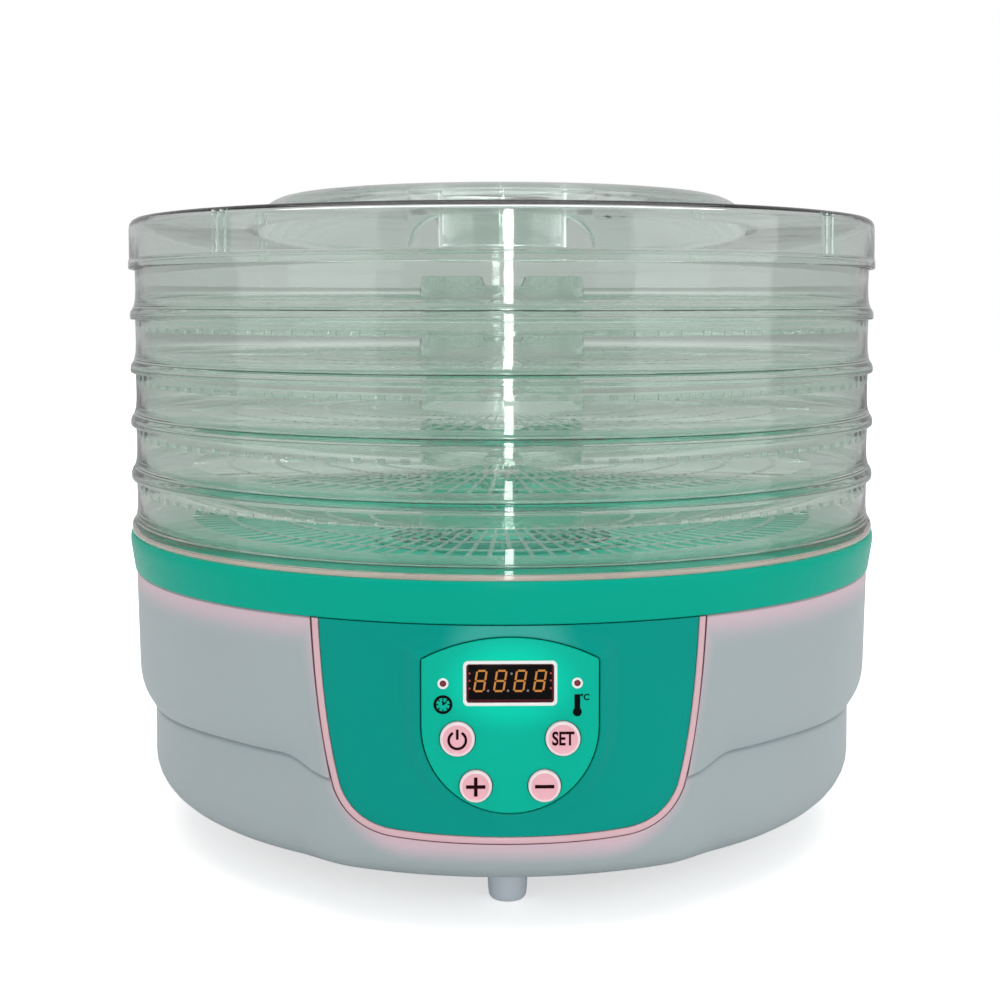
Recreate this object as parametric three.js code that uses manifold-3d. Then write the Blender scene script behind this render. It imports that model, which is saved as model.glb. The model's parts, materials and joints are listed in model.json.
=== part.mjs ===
// A round countertop food dehydrator: a bowl-shaped base with a fan, a heater and a front control
// panel, five stacking trays with slotted floors, and a lid with a recessed grip.
//
// Units are millimetres, +Z is up and the front faces -Y. The origin is on the surface that the
// feet stand on, on the axis that the trays, the fan and the base share.
import * as THREE from "three";
import { mergeVertices } from "three/addons/utils/BufferGeometryUtils.js";
import Module from "manifold-3d";

const wasm = await Module();
wasm.setup();

// ------------------------------------------------------------------ driving dimensions

const GAP = 0.3; // clearance between pieces that meet
const OVERCUT = 1; // how far a cutting tool runs past what it cuts
const BIG = 28; // sides of a large round piece
const PANEL = 56; // sides of the curved front panel's circle
const SMALL = 12; // sides of a small round piece
const SLIM = 8; // sides of a screw, post or pin

// base
const BODY_RADIUS = 160; // the widest point, the top of the ring
const RING_HEIGHT = 15;
const RING_TAPER = 2.1; // how far the ring draws in at its foot
const RING_OVERHANG = 2.7; // how far the ring's top stands out past the shell
const FOOT_HEIGHT = 14.2;
const FOOT_RADIUS = 7.4;
const FOOT_ROUNDING = 3;
const FOOT_CIRCLE = 118; // radius that the feet stand on
const SHELL_HEIGHT = 94.7;
const SHELL_WALL = 2.5;
const RECESS_DEPTH = 7.3; // the lower wall lies this far inside the upper one
const RECESS_HEIGHT = 38; // top of the lower wall, above the shell's underside
const RECESS_SLOPE = 10; // height of the slanting step between the two walls
const CORNER_WIDTH = 18; // rounding of the shell's lower edge
const CORNER_HEIGHT = 17;
const WALL_DRAFT = 0.8; // how much the upper wall leans out over its height
const DECK_DROP = 10.5; // deck's upper face, below the ring's top
const DECK_THICKNESS = 2;
const DECK_CORNER = 2; // where the deck rises into the lip under the lowest tray
const DECK_CORNER_HEIGHT = 3;
const COVER_SKIRT = 5.5; // the cover's locating skirt, inside the shell
const COVER_SKIRT_WALL = 2.4;
const COVER_PLAY = 0.4; // between that skirt and the shell
const RING_EDGE = 1; // bevel on the ring's upper edge
const OUTLET_INSET = 6; // the deck's hole for the warm air, inside the duct's bore
const GRILLE_RIM = 4; // the grille's rim lies this far over the deck
const GRILLE_THICKNESS = 1.5;
const GRILLE_SPIGOT = 2.4; // its spigot, down into the outlet
const GRILLE_HUB = 14;
const GRILLE_SLOTS = 16;
const GRILLE_SLOT_WIDTH = 4;
const INTAKE_START = 14; // slots under the base, from and to these radii
const INTAKE_END = 40;
const INTAKE_WIDTH = 5;
const INTAKE_COUNT = 12;
const GLAND_RADIUS = 6;
const GLAND_BORE = 3.6;
const GLAND_COLLAR = 2.5;
const GLAND_RISE = 9; // above the rounding of the shell's lower edge

// trays
const TRAY_COUNT = 5;
const TRAY_PITCH = 22;
const TRAY_WALL = 2;
const TRAY_RADIUS = BODY_RADIUS - 3; // outside of the tray's wall
const FLOOR_THICKNESS = 2;
const BEAD_DROP = 2; // the outer bead hangs this far below the tray's floor
const BEAD_TOP = 3.5;
const BEAD_WALL = 1.7;
const BEAD_BEVEL = 1;
const SKIRT_DROP = 7; // the inner skirt drops this far into the tray below
const SKIRT_WALL = 1.6;
const SKIRT_PLAY = 0.5; // between the skirt and the wall that it drops into
const COLLAR_RADIUS = 36; // outside of the tube round the centre hole
const COLLAR_HEIGHT = 15;
const NOTCH_WIDTH = 18;
const NOTCH_DEPTH = 5;
const SLOT_START = 10; // from the collar
const SLOT_END = 22; // from the wall
const SLOT_COUNT = 16;
const SLOT_WIDTH = 8;

// lid
const LID_WALL = 2;
const LID_PLAY = 0.5; // between the lid's skirt and the top tray's wall
const LID_OVERLAP = 2.8; // how far the lid's skirt hangs past the top tray's rim
const LID_HEIGHT = 20.8; // skirt, from its lower edge to the flat top
const LID_CORNER = 4;
const LID_BEVEL = 1.2;
const DOME_RADIUS = 109;
const DOME_HEIGHT = 11.5;
const DOME_EDGE = 24; // width of the raised middle's rounded edge
const WELL_RADIUS = 40;
const WELL_DEPTH = 21.5;
const GRIP_WIDTH = 12;
const GRIP_THICKNESS = 4;
const CLIP_COUNT = 4; // pairs of ribs inside the lid's skirt
const CLIP_THICKNESS = 2;
const CLIP_TURN = 1.4; // degrees from a pair's middle to each rib
const VENT_START = 31; // from the raised middle's edge
const VENT_TURN = 5; // degrees between neighbouring vents
const VENT_WIDTH = 2.2;
const VENT_LENGTH = 14;

// control panel, with heights measured down from the shell's rim
const PANEL_TOP_HALF = 67.3; // half width of the green panel at its top
const PANEL_FOOT_HALF = 56;
const PANEL_LIFT = 21.5; // its lower edge, above the shell's underside
const PANEL_THICKNESS = 2.5;
const PANEL_STAND = 0.7; // how far it stands proud of the shell
const PANEL_CORNER_HEIGHT = 11;
const PANEL_SHOULDER = 2.5; // how far its sides bow in half way up
const PAD_BORDER = 3.4; // the raised pad round the control plate
const PAD_DEPTH = 3.3;
const PAD_SETBACK = 0.4;
const PLATE_LEDGE = 3; // width of the ledge that the control plate sits on
const PLATE_STAND = 0.6; // the control plate, proud of the green panel
const TRIM_WIDTH = 2.7;
const PLATE_HALF = 30.4;
const PLATE_DROP = 4; // its apex
const PLATE_CORNER_DROP = 11.4;
const PLATE_CENTRE_DROP = 34.4; // centre of its round lower edge
const PLATE_THICKNESS = 2.4;
const DISPLAY_DROP = 19.6;
const DISPLAY_MARGIN = 14.25; // plate on each side of the display
const DISPLAY_HEIGHT = 15.6;
const BEZEL_EDGE = 1.25;
const BEZEL_STAND = 0.6;
const WINDOW_STAND = 0.2;
const WINDOW_LEDGE = 1.2;
const WINDOW_BACK = 0.6; // thickness of the ledge behind the window
const TRIM_STAND = 0.4; // proud of the green panel
const LED_INSET = 7.4; // from the plate's side
const LED_RADIUS = 0.9;
const LED_FLANGE = 1.5;
const LED_LEG = 0.7;
const LED_LENGTH = 4; // behind the control plate
const LED_STAND = 0.3;
const LED_BEZEL_STAND = 0.5;
const LED_BEZEL_RADIUS = 1.9;
const BUTTON_RISE = 1.3; // stands out of the plate
// inset is from the plate's round edge, at an angle in degrees from straight down
const BUTTON_SEATS = [
  { name: "power", angle: -76.33677, inset: 11.772869, radius: 6.05 },
  { name: "set", angle: 76.33677, inset: 11.772869, radius: 6.05 },
  { name: "plus", angle: -29.566576, inset: 6.485987, radius: 5.65 },
  { name: "minus", angle: 29.566576, inset: 6.485987, radius: 5.65 },
];
const BUTTON_EDGE = 0.7;
const BUTTON_FLANGE = 0.9; // wider than the cap, behind the plate
const BUTTON_FLANGE_THICKNESS = 1.2;
const STEM_RADIUS = 2;
const BUTTON_TRAVEL = 0.5;
const SWITCH_SIZE = 6;
const SWITCH_DEPTH = 3.5;
const PLUNGER_RADIUS = 1.6;
const PLUNGER_STAND = 1.2; // out of the switch
const PLUNGER_SINK = 1.8; // inside the switch
const BOARD_GAP = 10.2; // from the plate's back to the board's front
const BOARD_HALF = 35;
const BOARD_HEIGHT = 53;
const BOARD_THICKNESS = 1.6;
const BOARD_RISE = 2.5; // its upper edge, above the control plate's corners
const BOARD_POST_X = 31.5;
const BOARD_POST_DROP = 3.5; // the upper posts, below the board's upper edge
const BOARD_POST_SPACING = 46;
const BOARD_POST_RADIUS = 2.8;
const BOARD_HOLE = 1.3;
const BOARD_SCREW_RADIUS = 1;
const BOARD_SCREW_HEAD = 2.4;
const BOARD_SCREW_LENGTH = 5;

// fan and heater
const DUCT_RADIUS = 59.2;
const DUCT_WALL = 1.2;
const DUCT_LENGTH = 44;
const DUCT_FLANGE = 7;
const BLADE_PLAY = 3; // between the blades and the duct
const BLADE_COUNT = 6;
const BLADE_WIDTH = 26;
const BLADE_THICKNESS = 1.6;
const BLADE_PITCH = 28; // degrees
const BLADE_ROOT = 10;
const HUB_RADIUS = 13;
const HUB_HEIGHT = 14;
const HUB_RISE = 10; // above the motor
const NUT_RADIUS = 4.5;
const NUT_HEIGHT = 3;
const SHAFT_RADIUS = 2.5;
const SHAFT_SEAT = 11; // length inside the motor
const SHAFT_TIP = 3.5; // length past the hub
const MOTOR_RADIUS = 30;
const MOTOR_HEIGHT = 28;
const MOTOR_BEVEL = 3;
const MOTOR_BOSS = 9;
const MOTOR_BOSS_HEIGHT = 4;
const BRACKET_RISE = 18.3; // its upper face, above the shell's floor
const BRACKET_THICKNESS = 2;
const BRACKET_REACH = 50;
const BRACKET_WIDTH = 10;
const BRACKET_HUB = 22;
const BRACKET_POST_CIRCLE = 46;
const BRACKET_POST_RADIUS = 4;
const HEATER_DROP = 10.2; // middle of the coil, below the duct's upper edge
const MICA_THICKNESS = 1.5;
const MICA_HALF_HEIGHT = 6;
const CUTOUT_DEPTH = 6;
const CUTOUT_WIDTH = 16;
const CUTOUT_BELOW = 6; // below and above the middle of the coil
const CUTOUT_ABOVE = 2;
const COIL_RADIUS = 38;
const COIL_THICKNESS = 3.5;
const SENSOR_RADIUS = 2;
const SENSOR_LENGTH = 9;
const WELL_CIRCLE = 105; // radius that the case screws stand on
const WELL_TUBE = 6.5;
const WELL_TOP = 45.5; // top of the screw wells, above the shell's underside
const WELL_WALL = 2;
const WELL_ROOF = 2.5;
const SCREW_RADIUS = 1.6;
const SCREW_HEAD_RADIUS = 3.4;
const SCREW_HEAD_HEIGHT = 3;
const SCREW_LENGTH = 15;
const SCREW_BOSS = 5; // radius of the boss that a case screw bites into
const POWER_BOARD_WIDTH = 80;
const POWER_BOARD_DEPTH = 50;
const POWER_BOARD_RISE = 8.3; // above the shell's floor
const POWER_BOARD_SETBACK = 62; // its middle, behind the ring's front
const POWER_POST_RADIUS = 3;
const POWER_POST_INSET = 4;
const RELAY_OFFSET = -24;
const RELAY_LENGTH = 20;
const RELAY_WIDTH = 16;
const CAPACITOR_OFFSET = 24;
const CAPACITOR_RADIUS = 8;
const CAPACITOR_HEIGHT = 22;
const CABLE_WIDTH = 12;
const CABLE_THICKNESS = 1.2;
const CABLE_DROP = 40; // its end, below the control plate's corners

// ------------------------------------------------------------------ heights that follow

const shellBottom = FOOT_HEIGHT + GAP;
const shellTop = shellBottom + SHELL_HEIGHT;
const shellRadius = BODY_RADIUS - RING_OVERHANG;
const recessRadius = shellRadius - RECESS_DEPTH;
const floorTop = shellBottom + SHELL_WALL;
const ringBottom = shellTop + GAP;
const ringTop = ringBottom + RING_HEIGHT;
const deckTop = ringTop - DECK_DROP;
const deckBottom = deckTop - DECK_THICKNESS;
const firstFloor = ringTop + GAP + BEAD_DROP; // underside of the lowest tray's floor
const trayInner = TRAY_RADIUS - TRAY_WALL;
const trayWallTop = TRAY_PITCH - GAP; // above the tray's own underside
const stackTop = firstFloor + (TRAY_COUNT - 1) * TRAY_PITCH + trayWallTop;
const lidBottom = stackTop - LID_OVERLAP;
const lidTop = lidBottom + LID_HEIGHT;
const domeTop = lidTop + DOME_HEIGHT;
const panelRadius = shellRadius + PANEL_STAND;
const plateFront = -(panelRadius + PLATE_STAND);
const plateBack = plateFront + PLATE_THICKNESS;
const boardFront = plateBack + BOARD_GAP;
const switchFront = boardFront - GAP - SWITCH_DEPTH;
const ductTop = deckBottom - GAP;
const bracketTop = floorTop + BRACKET_RISE;
const motorTop = bracketTop + GAP + MOTOR_HEIGHT;
const hubBottom = motorTop + HUB_RISE;
const hubTop = hubBottom + HUB_HEIGHT;
const heaterZ = ductTop - HEATER_DROP;
const powerBoardBottom = floorTop + POWER_BOARD_RISE;
const powerBoardTop = powerBoardBottom + BOARD_THICKNESS;
const powerBoardY = -BODY_RADIUS + POWER_BOARD_SETBACK;
const glandZ = shellBottom + CORNER_HEIGHT + GLAND_RISE;
const wellTop = shellBottom + WELL_TOP;
const stemEnd = switchFront - PLUNGER_STAND - GAP;
const skirtRadius = shellRadius - SHELL_WALL - COVER_PLAY; // the cover's skirt
const outletRadius = DUCT_RADIUS - DUCT_WALL - OUTLET_INSET;
const bladeRadius = DUCT_RADIUS - DUCT_WALL - BLADE_PLAY;
const ledOffset = PLATE_HALF - LED_INSET;
const buttons = BUTTON_SEATS.map(({ name, angle, inset, radius }) => {
  const turn = THREE.MathUtils.degToRad(angle);
  const reach = PLATE_HALF - inset;
  const drop = PLATE_CENTRE_DROP + reach * Math.cos(turn);
  return { name, x: reach * Math.sin(turn), drop, radius };
});

// ------------------------------------------------------------------ tools

// A three.js geometry as a manifold-3d solid.
function solid(geometry) {
  const bare = (geometry.index ? geometry.toNonIndexed() : geometry.clone());
  bare.deleteAttribute("normal");
  bare.deleteAttribute("uv");
  const merged = mergeVertices(bare, 1e-4);
  const index = merged.index.array;
  const triVerts = [];
  for (let i = 0; i < index.length; i += 3) {
    const [a, b, c] = index.slice(i, i + 3);
    if (a !== b && b !== c && a !== c) triVerts.push(a, b, c);
  }
  const vertProperties = merged.attributes.position.array;
  return new wasm.Manifold(
    new wasm.Mesh({ numProp: 3, vertProperties, triVerts: new Uint32Array(triVerts) }),
  );
}

// A manifold-3d solid as a three.js geometry.
function geometryOf(manifold) {
  const mesh = manifold.getMesh();
  const geometry = new THREE.BufferGeometry();
  geometry.setAttribute("position", new THREE.BufferAttribute(mesh.vertProperties, 3));
  geometry.setIndex(new THREE.BufferAttribute(mesh.triVerts, 1));
  geometry.computeVertexNormals();
  return geometry;
}

// A solid of revolution about +Z. The [radius, height] profile runs up its outer side.
function turned(profile, sides = BIG) {
  const onAxis = profile[0][0] === 0;
  const closed = onAxis ? profile : [...profile, profile[0]];
  const points = closed.map(([r, z]) => new THREE.Vector2(r, z));
  return solid(new THREE.LatheGeometry(points, sides).rotateX(Math.PI / 2));
}

// The same about a line along Y through (x, z). The profile is [radius, y], from the front back.
function turnedAlongY(profile, x, z, sides = SMALL) {
  const onAxis = profile[0][0] === 0;
  const closed = onAxis ? profile : [...profile, profile[0]];
  const points = closed.map(([r, y]) => new THREE.Vector2(r, y));
  return solid(new THREE.LatheGeometry(points, sides).translate(x, 0, z));
}

const rod = (radius, z0, z1, x = 0, y = 0, sides = SMALL) =>
  turned([[0, z0], [radius, z0], [radius, z1], [0, z1]], sides).translate([x, y, 0]);

const rodAlongY = (radius, y0, y1, x, z, sides = SMALL) =>
  turnedAlongY([[0, y0], [radius, y0], [radius, y1], [0, y1]], x, z, sides);

function box(x0, x1, y0, y1, z0, z1) {
  const geometry = new THREE.BoxGeometry(x1 - x0, y1 - y0, z1 - z0);
  return solid(geometry.translate((x0 + x1) / 2, (y0 + y1) / 2, (z0 + z1) / 2));
}

// A prism along Y, from an outline of [x, z] points.
function prism(outline, y0, y1) {
  const shape = new THREE.Shape(outline.map(([x, z]) => new THREE.Vector2(x, z)));
  const geometry = new THREE.ExtrudeGeometry(shape, { depth: y1 - y0, bevelEnabled: false });
  return solid(geometry.rotateX(Math.PI / 2).translate(0, y1, 0));
}

// A closed anticlockwise outline moved outwards by a distance, with mitred corners.
function grown(outline, distance) {
  return outline.map(([x, z], i) => {
    const [px, pz] = outline.at(i - 1);
    const [nx, nz] = outline[(i + 1) % outline.length];
    const before = new THREE.Vector2(z - pz, px - x).normalize();
    const after = new THREE.Vector2(nz - z, x - nx).normalize();
    const mitre = before.clone().add(after);
    mitre.multiplyScalar((2 * distance) / mitre.lengthSq());
    return [x + mitre.x, z + mitre.y];
  });
}

const joined = (...solids) => solids.reduce((whole, piece) => whole.add(piece));
const cut = (whole, ...tools) => tools.reduce((rest, tool) => rest.subtract(tool), whole);

// Copies of a solid turned about +Z, at equal steps from a first angle in degrees.
const around = (piece, count, first = 0) =>
  Array.from({ length: count }, (_, i) => piece.rotate([0, 0, first + (360 / count) * i]));

// ------------------------------------------------------------------ materials

const plastic = (color, roughness = 0.4) =>
  new THREE.MeshStandardMaterial({ color, roughness, metalness: 0 });
const metal = (color, roughness = 0.35) =>
  new THREE.MeshStandardMaterial({ color, roughness, metalness: 1 });
const clear = () =>
  new THREE.MeshStandardMaterial({
    color: 0xd6e2dc, roughness: 0.08, transparent: true, opacity: 0.4,
  });

const MATERIALS = {
  shell: plastic(0xb4c1c4),
  green: plastic(0x06ab92),
  panel: plastic(0x0b9d8c),
  plate: plastic(0x05b491, 0.35),
  pink: plastic(0xf3b9c0),
  white: plastic(0xf5f3f3),
  window: plastic(0x1c0508, 0.1),
  led: plastic(0x5c0d18, 0.2),
  dark: plastic(0x1b1c1e, 0.5),
  rubber: plastic(0xb5c2cb, 0.7),
  board: plastic(0x1d5a34, 0.5),
  steel: metal(0xb9bcc0),
  copper: metal(0xa3672f, 0.4),
  mica: plastic(0xc9b48c, 0.6),
  relay: plastic(0x20489c, 0.4),
  cable: plastic(0x8d9296, 0.6),
  impeller: plastic(0x2a2c2e, 0.5),
};

const dehydrator = new THREE.Group();

// Adds one named piece to the dehydrator.
function add(name, manifold, material) {
  const mesh = new THREE.Mesh(geometryOf(manifold), material);
  mesh.name = name;
  dehydrator.add(mesh);
}

// ------------------------------------------------------------------ base housing

// Outline of the green front panel, anticlockwise, seen from the front. Its top runs past the rim.
function panelOutline() {
  const foot = shellBottom + PANEL_LIFT;
  const corner = foot + PANEL_CORNER_HEIGHT;
  const shape = new THREE.Shape();
  shape.moveTo(0, foot);
  shape.quadraticCurveTo(PANEL_FOOT_HALF * 0.5, foot, PANEL_FOOT_HALF * 0.74, foot + 1.6);
  shape.quadraticCurveTo(PANEL_FOOT_HALF * 0.94, foot + 3, PANEL_FOOT_HALF, corner);
  shape.quadraticCurveTo(
    PANEL_TOP_HALF - PANEL_SHOULDER, (foot + shellTop) / 2, PANEL_TOP_HALF,
    shellTop + RING_HEIGHT / 2,
  );
  const right = shape.getPoints(6).map((p) => [p.x, p.y]);
  const left = right.slice(1).reverse().map(([x, z]) => [-x, z]);
  return [...right, ...left];
}

// Outline of the control plate: a low arc on top, straight sides and a half round foot.
function plateOutline() {
  const centre = shellTop - PLATE_CENTRE_DROP;
  const apex = shellTop - PLATE_DROP;
  const corner = shellTop - PLATE_CORNER_DROP;
  const rise = apex - corner;
  const arcRadius = (PLATE_HALF ** 2 + rise ** 2) / (2 * rise);
  const half = Math.asin(PLATE_HALF / arcRadius);
  const shape = new THREE.Shape();
  shape.absarc(0, centre, PLATE_HALF, Math.PI, 2 * Math.PI, false);
  shape.absarc(0, apex - arcRadius, arcRadius, Math.PI / 2 - half, Math.PI / 2 + half, false);
  return shape.getPoints(6).map((p) => [p.x, p.y]).filter(([x, z], i, all) => {
    const [px, pz] = all.at(i - 1);
    return Math.hypot(x - px, z - pz) > 0.01;
  });
}

const panelEdge = panelOutline();
const plateEdge = plateOutline();
const FRONT = -BODY_RADIUS - 20; // ahead of every piece
const BEHIND = -BODY_RADIUS / 2; // well inside the front wall
const WALL_SHIFT = 0.4; // the inner wall steps out this share of the wall higher up

// The half profile of the shell's wall at a depth inside its outer face, from the floor up.
function shellProfile(depth) {
  const centre = recessRadius - CORNER_WIDTH;
  const start = shellBottom + CORNER_HEIGHT;
  const corner = [270, 292.5, 315, 337.5, 360].map((degrees) => {
    const a = THREE.MathUtils.degToRad(degrees);
    return [
      centre + (CORNER_WIDTH - depth) * Math.cos(a),
      start + (CORNER_HEIGHT - depth) * Math.sin(a),
    ];
  });
  const step = shellBottom + RECESS_HEIGHT + depth * WALL_SHIFT;
  return [
    ...corner,
    [recessRadius - depth, step],
    [shellRadius - depth - WALL_DRAFT, step + RECESS_SLOPE],
    [shellRadius - depth, shellTop],
  ];
}

function housingShell() {
  const outer = shellProfile(0);
  const inner = shellProfile(SHELL_WALL).reverse();
  let shell = turned([[0, shellBottom], ...outer, ...inner, [0, floorTop]]);
  const rooted = floorTop - SHELL_WALL / 2; // posts and wells start inside the shell's floor
  const bracketPostTop = bracketTop - BRACKET_THICKNESS - GAP;
  const bracketPost = rod(BRACKET_POST_RADIUS, rooted, bracketPostTop, BRACKET_POST_CIRCLE, 0, SLIM);
  const boardPostTop = powerBoardBottom - GAP;
  const boardPost = ([x, y]) => rod(POWER_POST_RADIUS, rooted, boardPostTop, x, y, SLIM);
  const well = rod(WELL_TUBE, rooted, wellTop, WELL_CIRCLE);
  shell = joined(
    shell, ...around(well, 4, 45), ...around(bracketPost, 4, 45), ...powerPosts().map(boardPost),
  );
  const wellBore = rod(
    WELL_TUBE - WELL_WALL, shellBottom - OVERCUT, wellTop - WELL_ROOF, WELL_CIRCLE,
  );
  const screwHole = rod(
    SCREW_RADIUS + GAP, wellTop - WELL_ROOF - OVERCUT, wellTop + OVERCUT, WELL_CIRCLE, 0, SLIM,
  );
  const intake = box(
    INTAKE_START, INTAKE_END, -INTAKE_WIDTH / 2, INTAKE_WIDTH / 2,
    shellBottom - OVERCUT, floorTop + OVERCUT,
  );
  const panelHole = prism(grown(panelEdge, TRIM_WIDTH + 2 * GAP), FRONT, BEHIND);
  const glandHole = rodAlongY(
    GLAND_RADIUS + GAP, recessRadius - 2 * SHELL_WALL, recessRadius + OVERCUT, 0, glandZ,
  );
  return cut(
    shell, ...around(wellBore, 4, 45), ...around(screwHole, 4, 45),
    ...around(intake, INTAKE_COUNT), panelHole, glandHole,
  );
}

// The coloured ring, the deck that the warm air rises through and the skirt that seats in the shell.
function upperCover() {
  const skirtInner = skirtRadius - COVER_SKIRT_WALL;
  const lipOuter = TRAY_RADIUS;
  const lipInner = trayInner;
  const lipTop = firstFloor - GAP;
  const ringFoot = BODY_RADIUS - RING_TAPER;
  let cover = turned([
    [outletRadius, deckBottom],
    [skirtInner - DECK_CORNER, deckBottom],
    [skirtInner, deckBottom - DECK_CORNER],
    [skirtInner, ringBottom - COVER_SKIRT],
    [skirtRadius, ringBottom - COVER_SKIRT],
    [skirtRadius, ringBottom],
    [ringFoot, ringBottom],
    [BODY_RADIUS, ringTop - RING_EDGE],
    [BODY_RADIUS - RING_EDGE, ringTop],
    [lipOuter, ringTop],
    [lipOuter, lipTop],
    [lipInner, lipTop],
    [lipInner, deckTop + DECK_CORNER_HEIGHT],
    [lipInner - DECK_CORNER, deckTop],
    [outletRadius, deckTop],
  ]);
  const bossBottom = wellTop + GAP;
  const boss = rod(SCREW_BOSS, bossBottom, deckBottom + DECK_THICKNESS / 2, WELL_CIRCLE);
  const pilot = rod(
    SCREW_RADIUS + GAP, bossBottom - OVERCUT, bossBottom + SCREW_LENGTH - OVERCUT,
    WELL_CIRCLE, 0, SLIM,
  );
  cover = joined(cover, ...around(boss, 4, 45));
  return cut(cover, ...around(pilot, 4, 45));
}

// A round plate with radial slots that lies on the deck, over the outlet.
function outletGrille() {
  const seat = deckTop + GAP;
  const face = seat + GRILLE_THICKNESS;
  const plate = turned([
    [0, seat - GRILLE_SPIGOT],
    [outletRadius - GAP, seat - GRILLE_SPIGOT],
    [outletRadius - GAP, seat],
    [outletRadius + GRILLE_RIM, seat],
    [outletRadius + GRILLE_RIM, face],
    [0, face],
  ]);
  const slot = box(
    GRILLE_HUB, outletRadius - GRILLE_RIM, -GRILLE_SLOT_WIDTH / 2, GRILLE_SLOT_WIDTH / 2,
    seat - GRILLE_SPIGOT - OVERCUT, face + OVERCUT,
  );
  return cut(plate, ...around(slot, GRILLE_SLOTS, 180 / GRILLE_SLOTS));
}

function frontPanel() {
  const innerRadius = panelRadius - PANEL_THICKNESS;
  const foot = shellBottom;
  const wall = turned(
    [[innerRadius, foot], [panelRadius, foot], [panelRadius, shellTop], [innerRadius, shellTop]],
    PANEL,
  ).intersect(prism(panelEdge, FRONT, BEHIND));
  const padCore = rod(panelRadius - PAD_DEPTH, foot, ringTop, 0, 0, PANEL);
  const pad = cut(prism(grown(plateEdge, PAD_BORDER), plateFront + PAD_SETBACK, BEHIND), padCore);
  const rimCut = box(-BODY_RADIUS, BODY_RADIUS, FRONT, BEHIND, shellTop, ringTop);
  const postStart = -innerRadius + PANEL_THICKNESS / 2;
  const posts = boardPosts().map(([x, z]) =>
    rodAlongY(BOARD_POST_RADIUS, postStart, boardFront - GAP, x, z, SLIM));
  const holeStart = boardFront - BOARD_SCREW_LENGTH - GAP;
  const postHoles = boardPosts().map(([x, z]) =>
    rodAlongY(BOARD_HOLE, holeStart, boardFront, x, z, SLIM));
  const pocket = prism(grown(plateEdge, GAP), FRONT, plateBack + GAP);
  const opening = prism(grown(plateEdge, -PLATE_LEDGE), FRONT, BEHIND);
  const flangeRoom = buttons.map(({ x, drop, radius }) =>
    rodAlongY(radius + BUTTON_FLANGE + GAP, FRONT, BEHIND, x, controlZ(drop)));
  return cut(
    joined(wall, pad, ...posts), rimCut, pocket, opening, ...flangeRoom, ...postHoles,
  );
}

// The pale frame round the green panel, deep enough to close the step down to the lower wall.
function panelTrim() {
  const face = panelRadius + TRIM_STAND;
  const foot = shellBottom;
  const shallow = shellTop - 2 * COVER_SKIRT;
  const back = recessRadius - SHELL_WALL;
  const slimBack = shellRadius - SHELL_WALL;
  const band = turned(
    [
      [back, foot],
      [face, foot],
      [face, shellTop],
      [slimBack, shellTop],
      [slimBack, shallow],
      [back, shallow],
    ],
    PANEL,
  );
  const outside = prism(grown(panelEdge, TRIM_WIDTH + GAP), FRONT, BEHIND);
  const inside = prism(grown(panelEdge, GAP), FRONT, BEHIND);
  return band.intersect(outside).subtract(inside);
}

// A post with a rounded foot and a flat sole.
function foot(x, y) {
  const sole = FOOT_RADIUS - FOOT_ROUNDING;
  const edge = [90, 60, 30, 0].map((degrees) => {
    const a = THREE.MathUtils.degToRad(degrees);
    return [sole + FOOT_ROUNDING * Math.cos(a), FOOT_ROUNDING * (1 - Math.sin(a))];
  });
  const profile = [[0, 0], ...edge, [FOOT_RADIUS, FOOT_HEIGHT], [0, FOOT_HEIGHT]];
  return turned(profile, SMALL).translate([x, y, 0]);
}

function caseScrew(angle) {
  const seat = wellTop - WELL_ROOF - GAP;
  const screw = turned([
    [0, seat - SCREW_HEAD_HEIGHT],
    [SCREW_HEAD_RADIUS, seat - SCREW_HEAD_HEIGHT],
    [SCREW_HEAD_RADIUS, seat],
    [SCREW_RADIUS, seat],
    [SCREW_RADIUS, seat + SCREW_LENGTH],
    [0, seat + SCREW_LENGTH],
  ], SLIM);
  return screw.translate([WELL_CIRCLE, 0, 0]).rotate([0, 0, angle]);
}

// The bush in the back wall where the mains lead would enter.
function cordGland() {
  const seat = recessRadius + GAP;
  const inside = recessRadius - 2 * SHELL_WALL;
  return turnedAlongY([
    [GLAND_BORE, inside],
    [GLAND_RADIUS, inside],
    [GLAND_RADIUS, seat],
    [GLAND_RADIUS + GLAND_COLLAR, seat],
    [GLAND_RADIUS + GLAND_COLLAR / 2, seat + GLAND_COLLAR],
    [GLAND_BORE, seat + GLAND_COLLAR],
  ], 0, glandZ);
}

// ------------------------------------------------------------------ control panel

const controlZ = (drop) => shellTop - drop;

const boardTop = controlZ(PLATE_CORNER_DROP) + BOARD_RISE;

// Where the board is screwed to the front panel.
function boardPosts() {
  const high = boardTop - BOARD_POST_DROP;
  const low = high - BOARD_POST_SPACING;
  return [high, low].flatMap((z) => [[-BOARD_POST_X, z], [BOARD_POST_X, z]]);
}

function displayBox(margin, y0, y1) {
  const w = PLATE_HALF - DISPLAY_MARGIN + margin;
  const h = DISPLAY_HEIGHT / 2 + margin;
  const z = controlZ(DISPLAY_DROP);
  return box(-w, w, y0, y1, z - h, z + h);
}

function controlPlate() {
  const holes = buttons.map(({ x, drop, radius }) =>
    rodAlongY(radius + GAP, FRONT, BEHIND, x, controlZ(drop)));
  const ledHoles = [-1, 1].map((side) =>
    rodAlongY(LED_BEZEL_RADIUS + GAP, FRONT, BEHIND, side * ledOffset, controlZ(DISPLAY_DROP)));
  const plate = prism(plateEdge, plateFront, plateBack);
  return cut(plate, displayBox(GAP, FRONT, BEHIND), ...holes, ...ledHoles);
}

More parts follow.
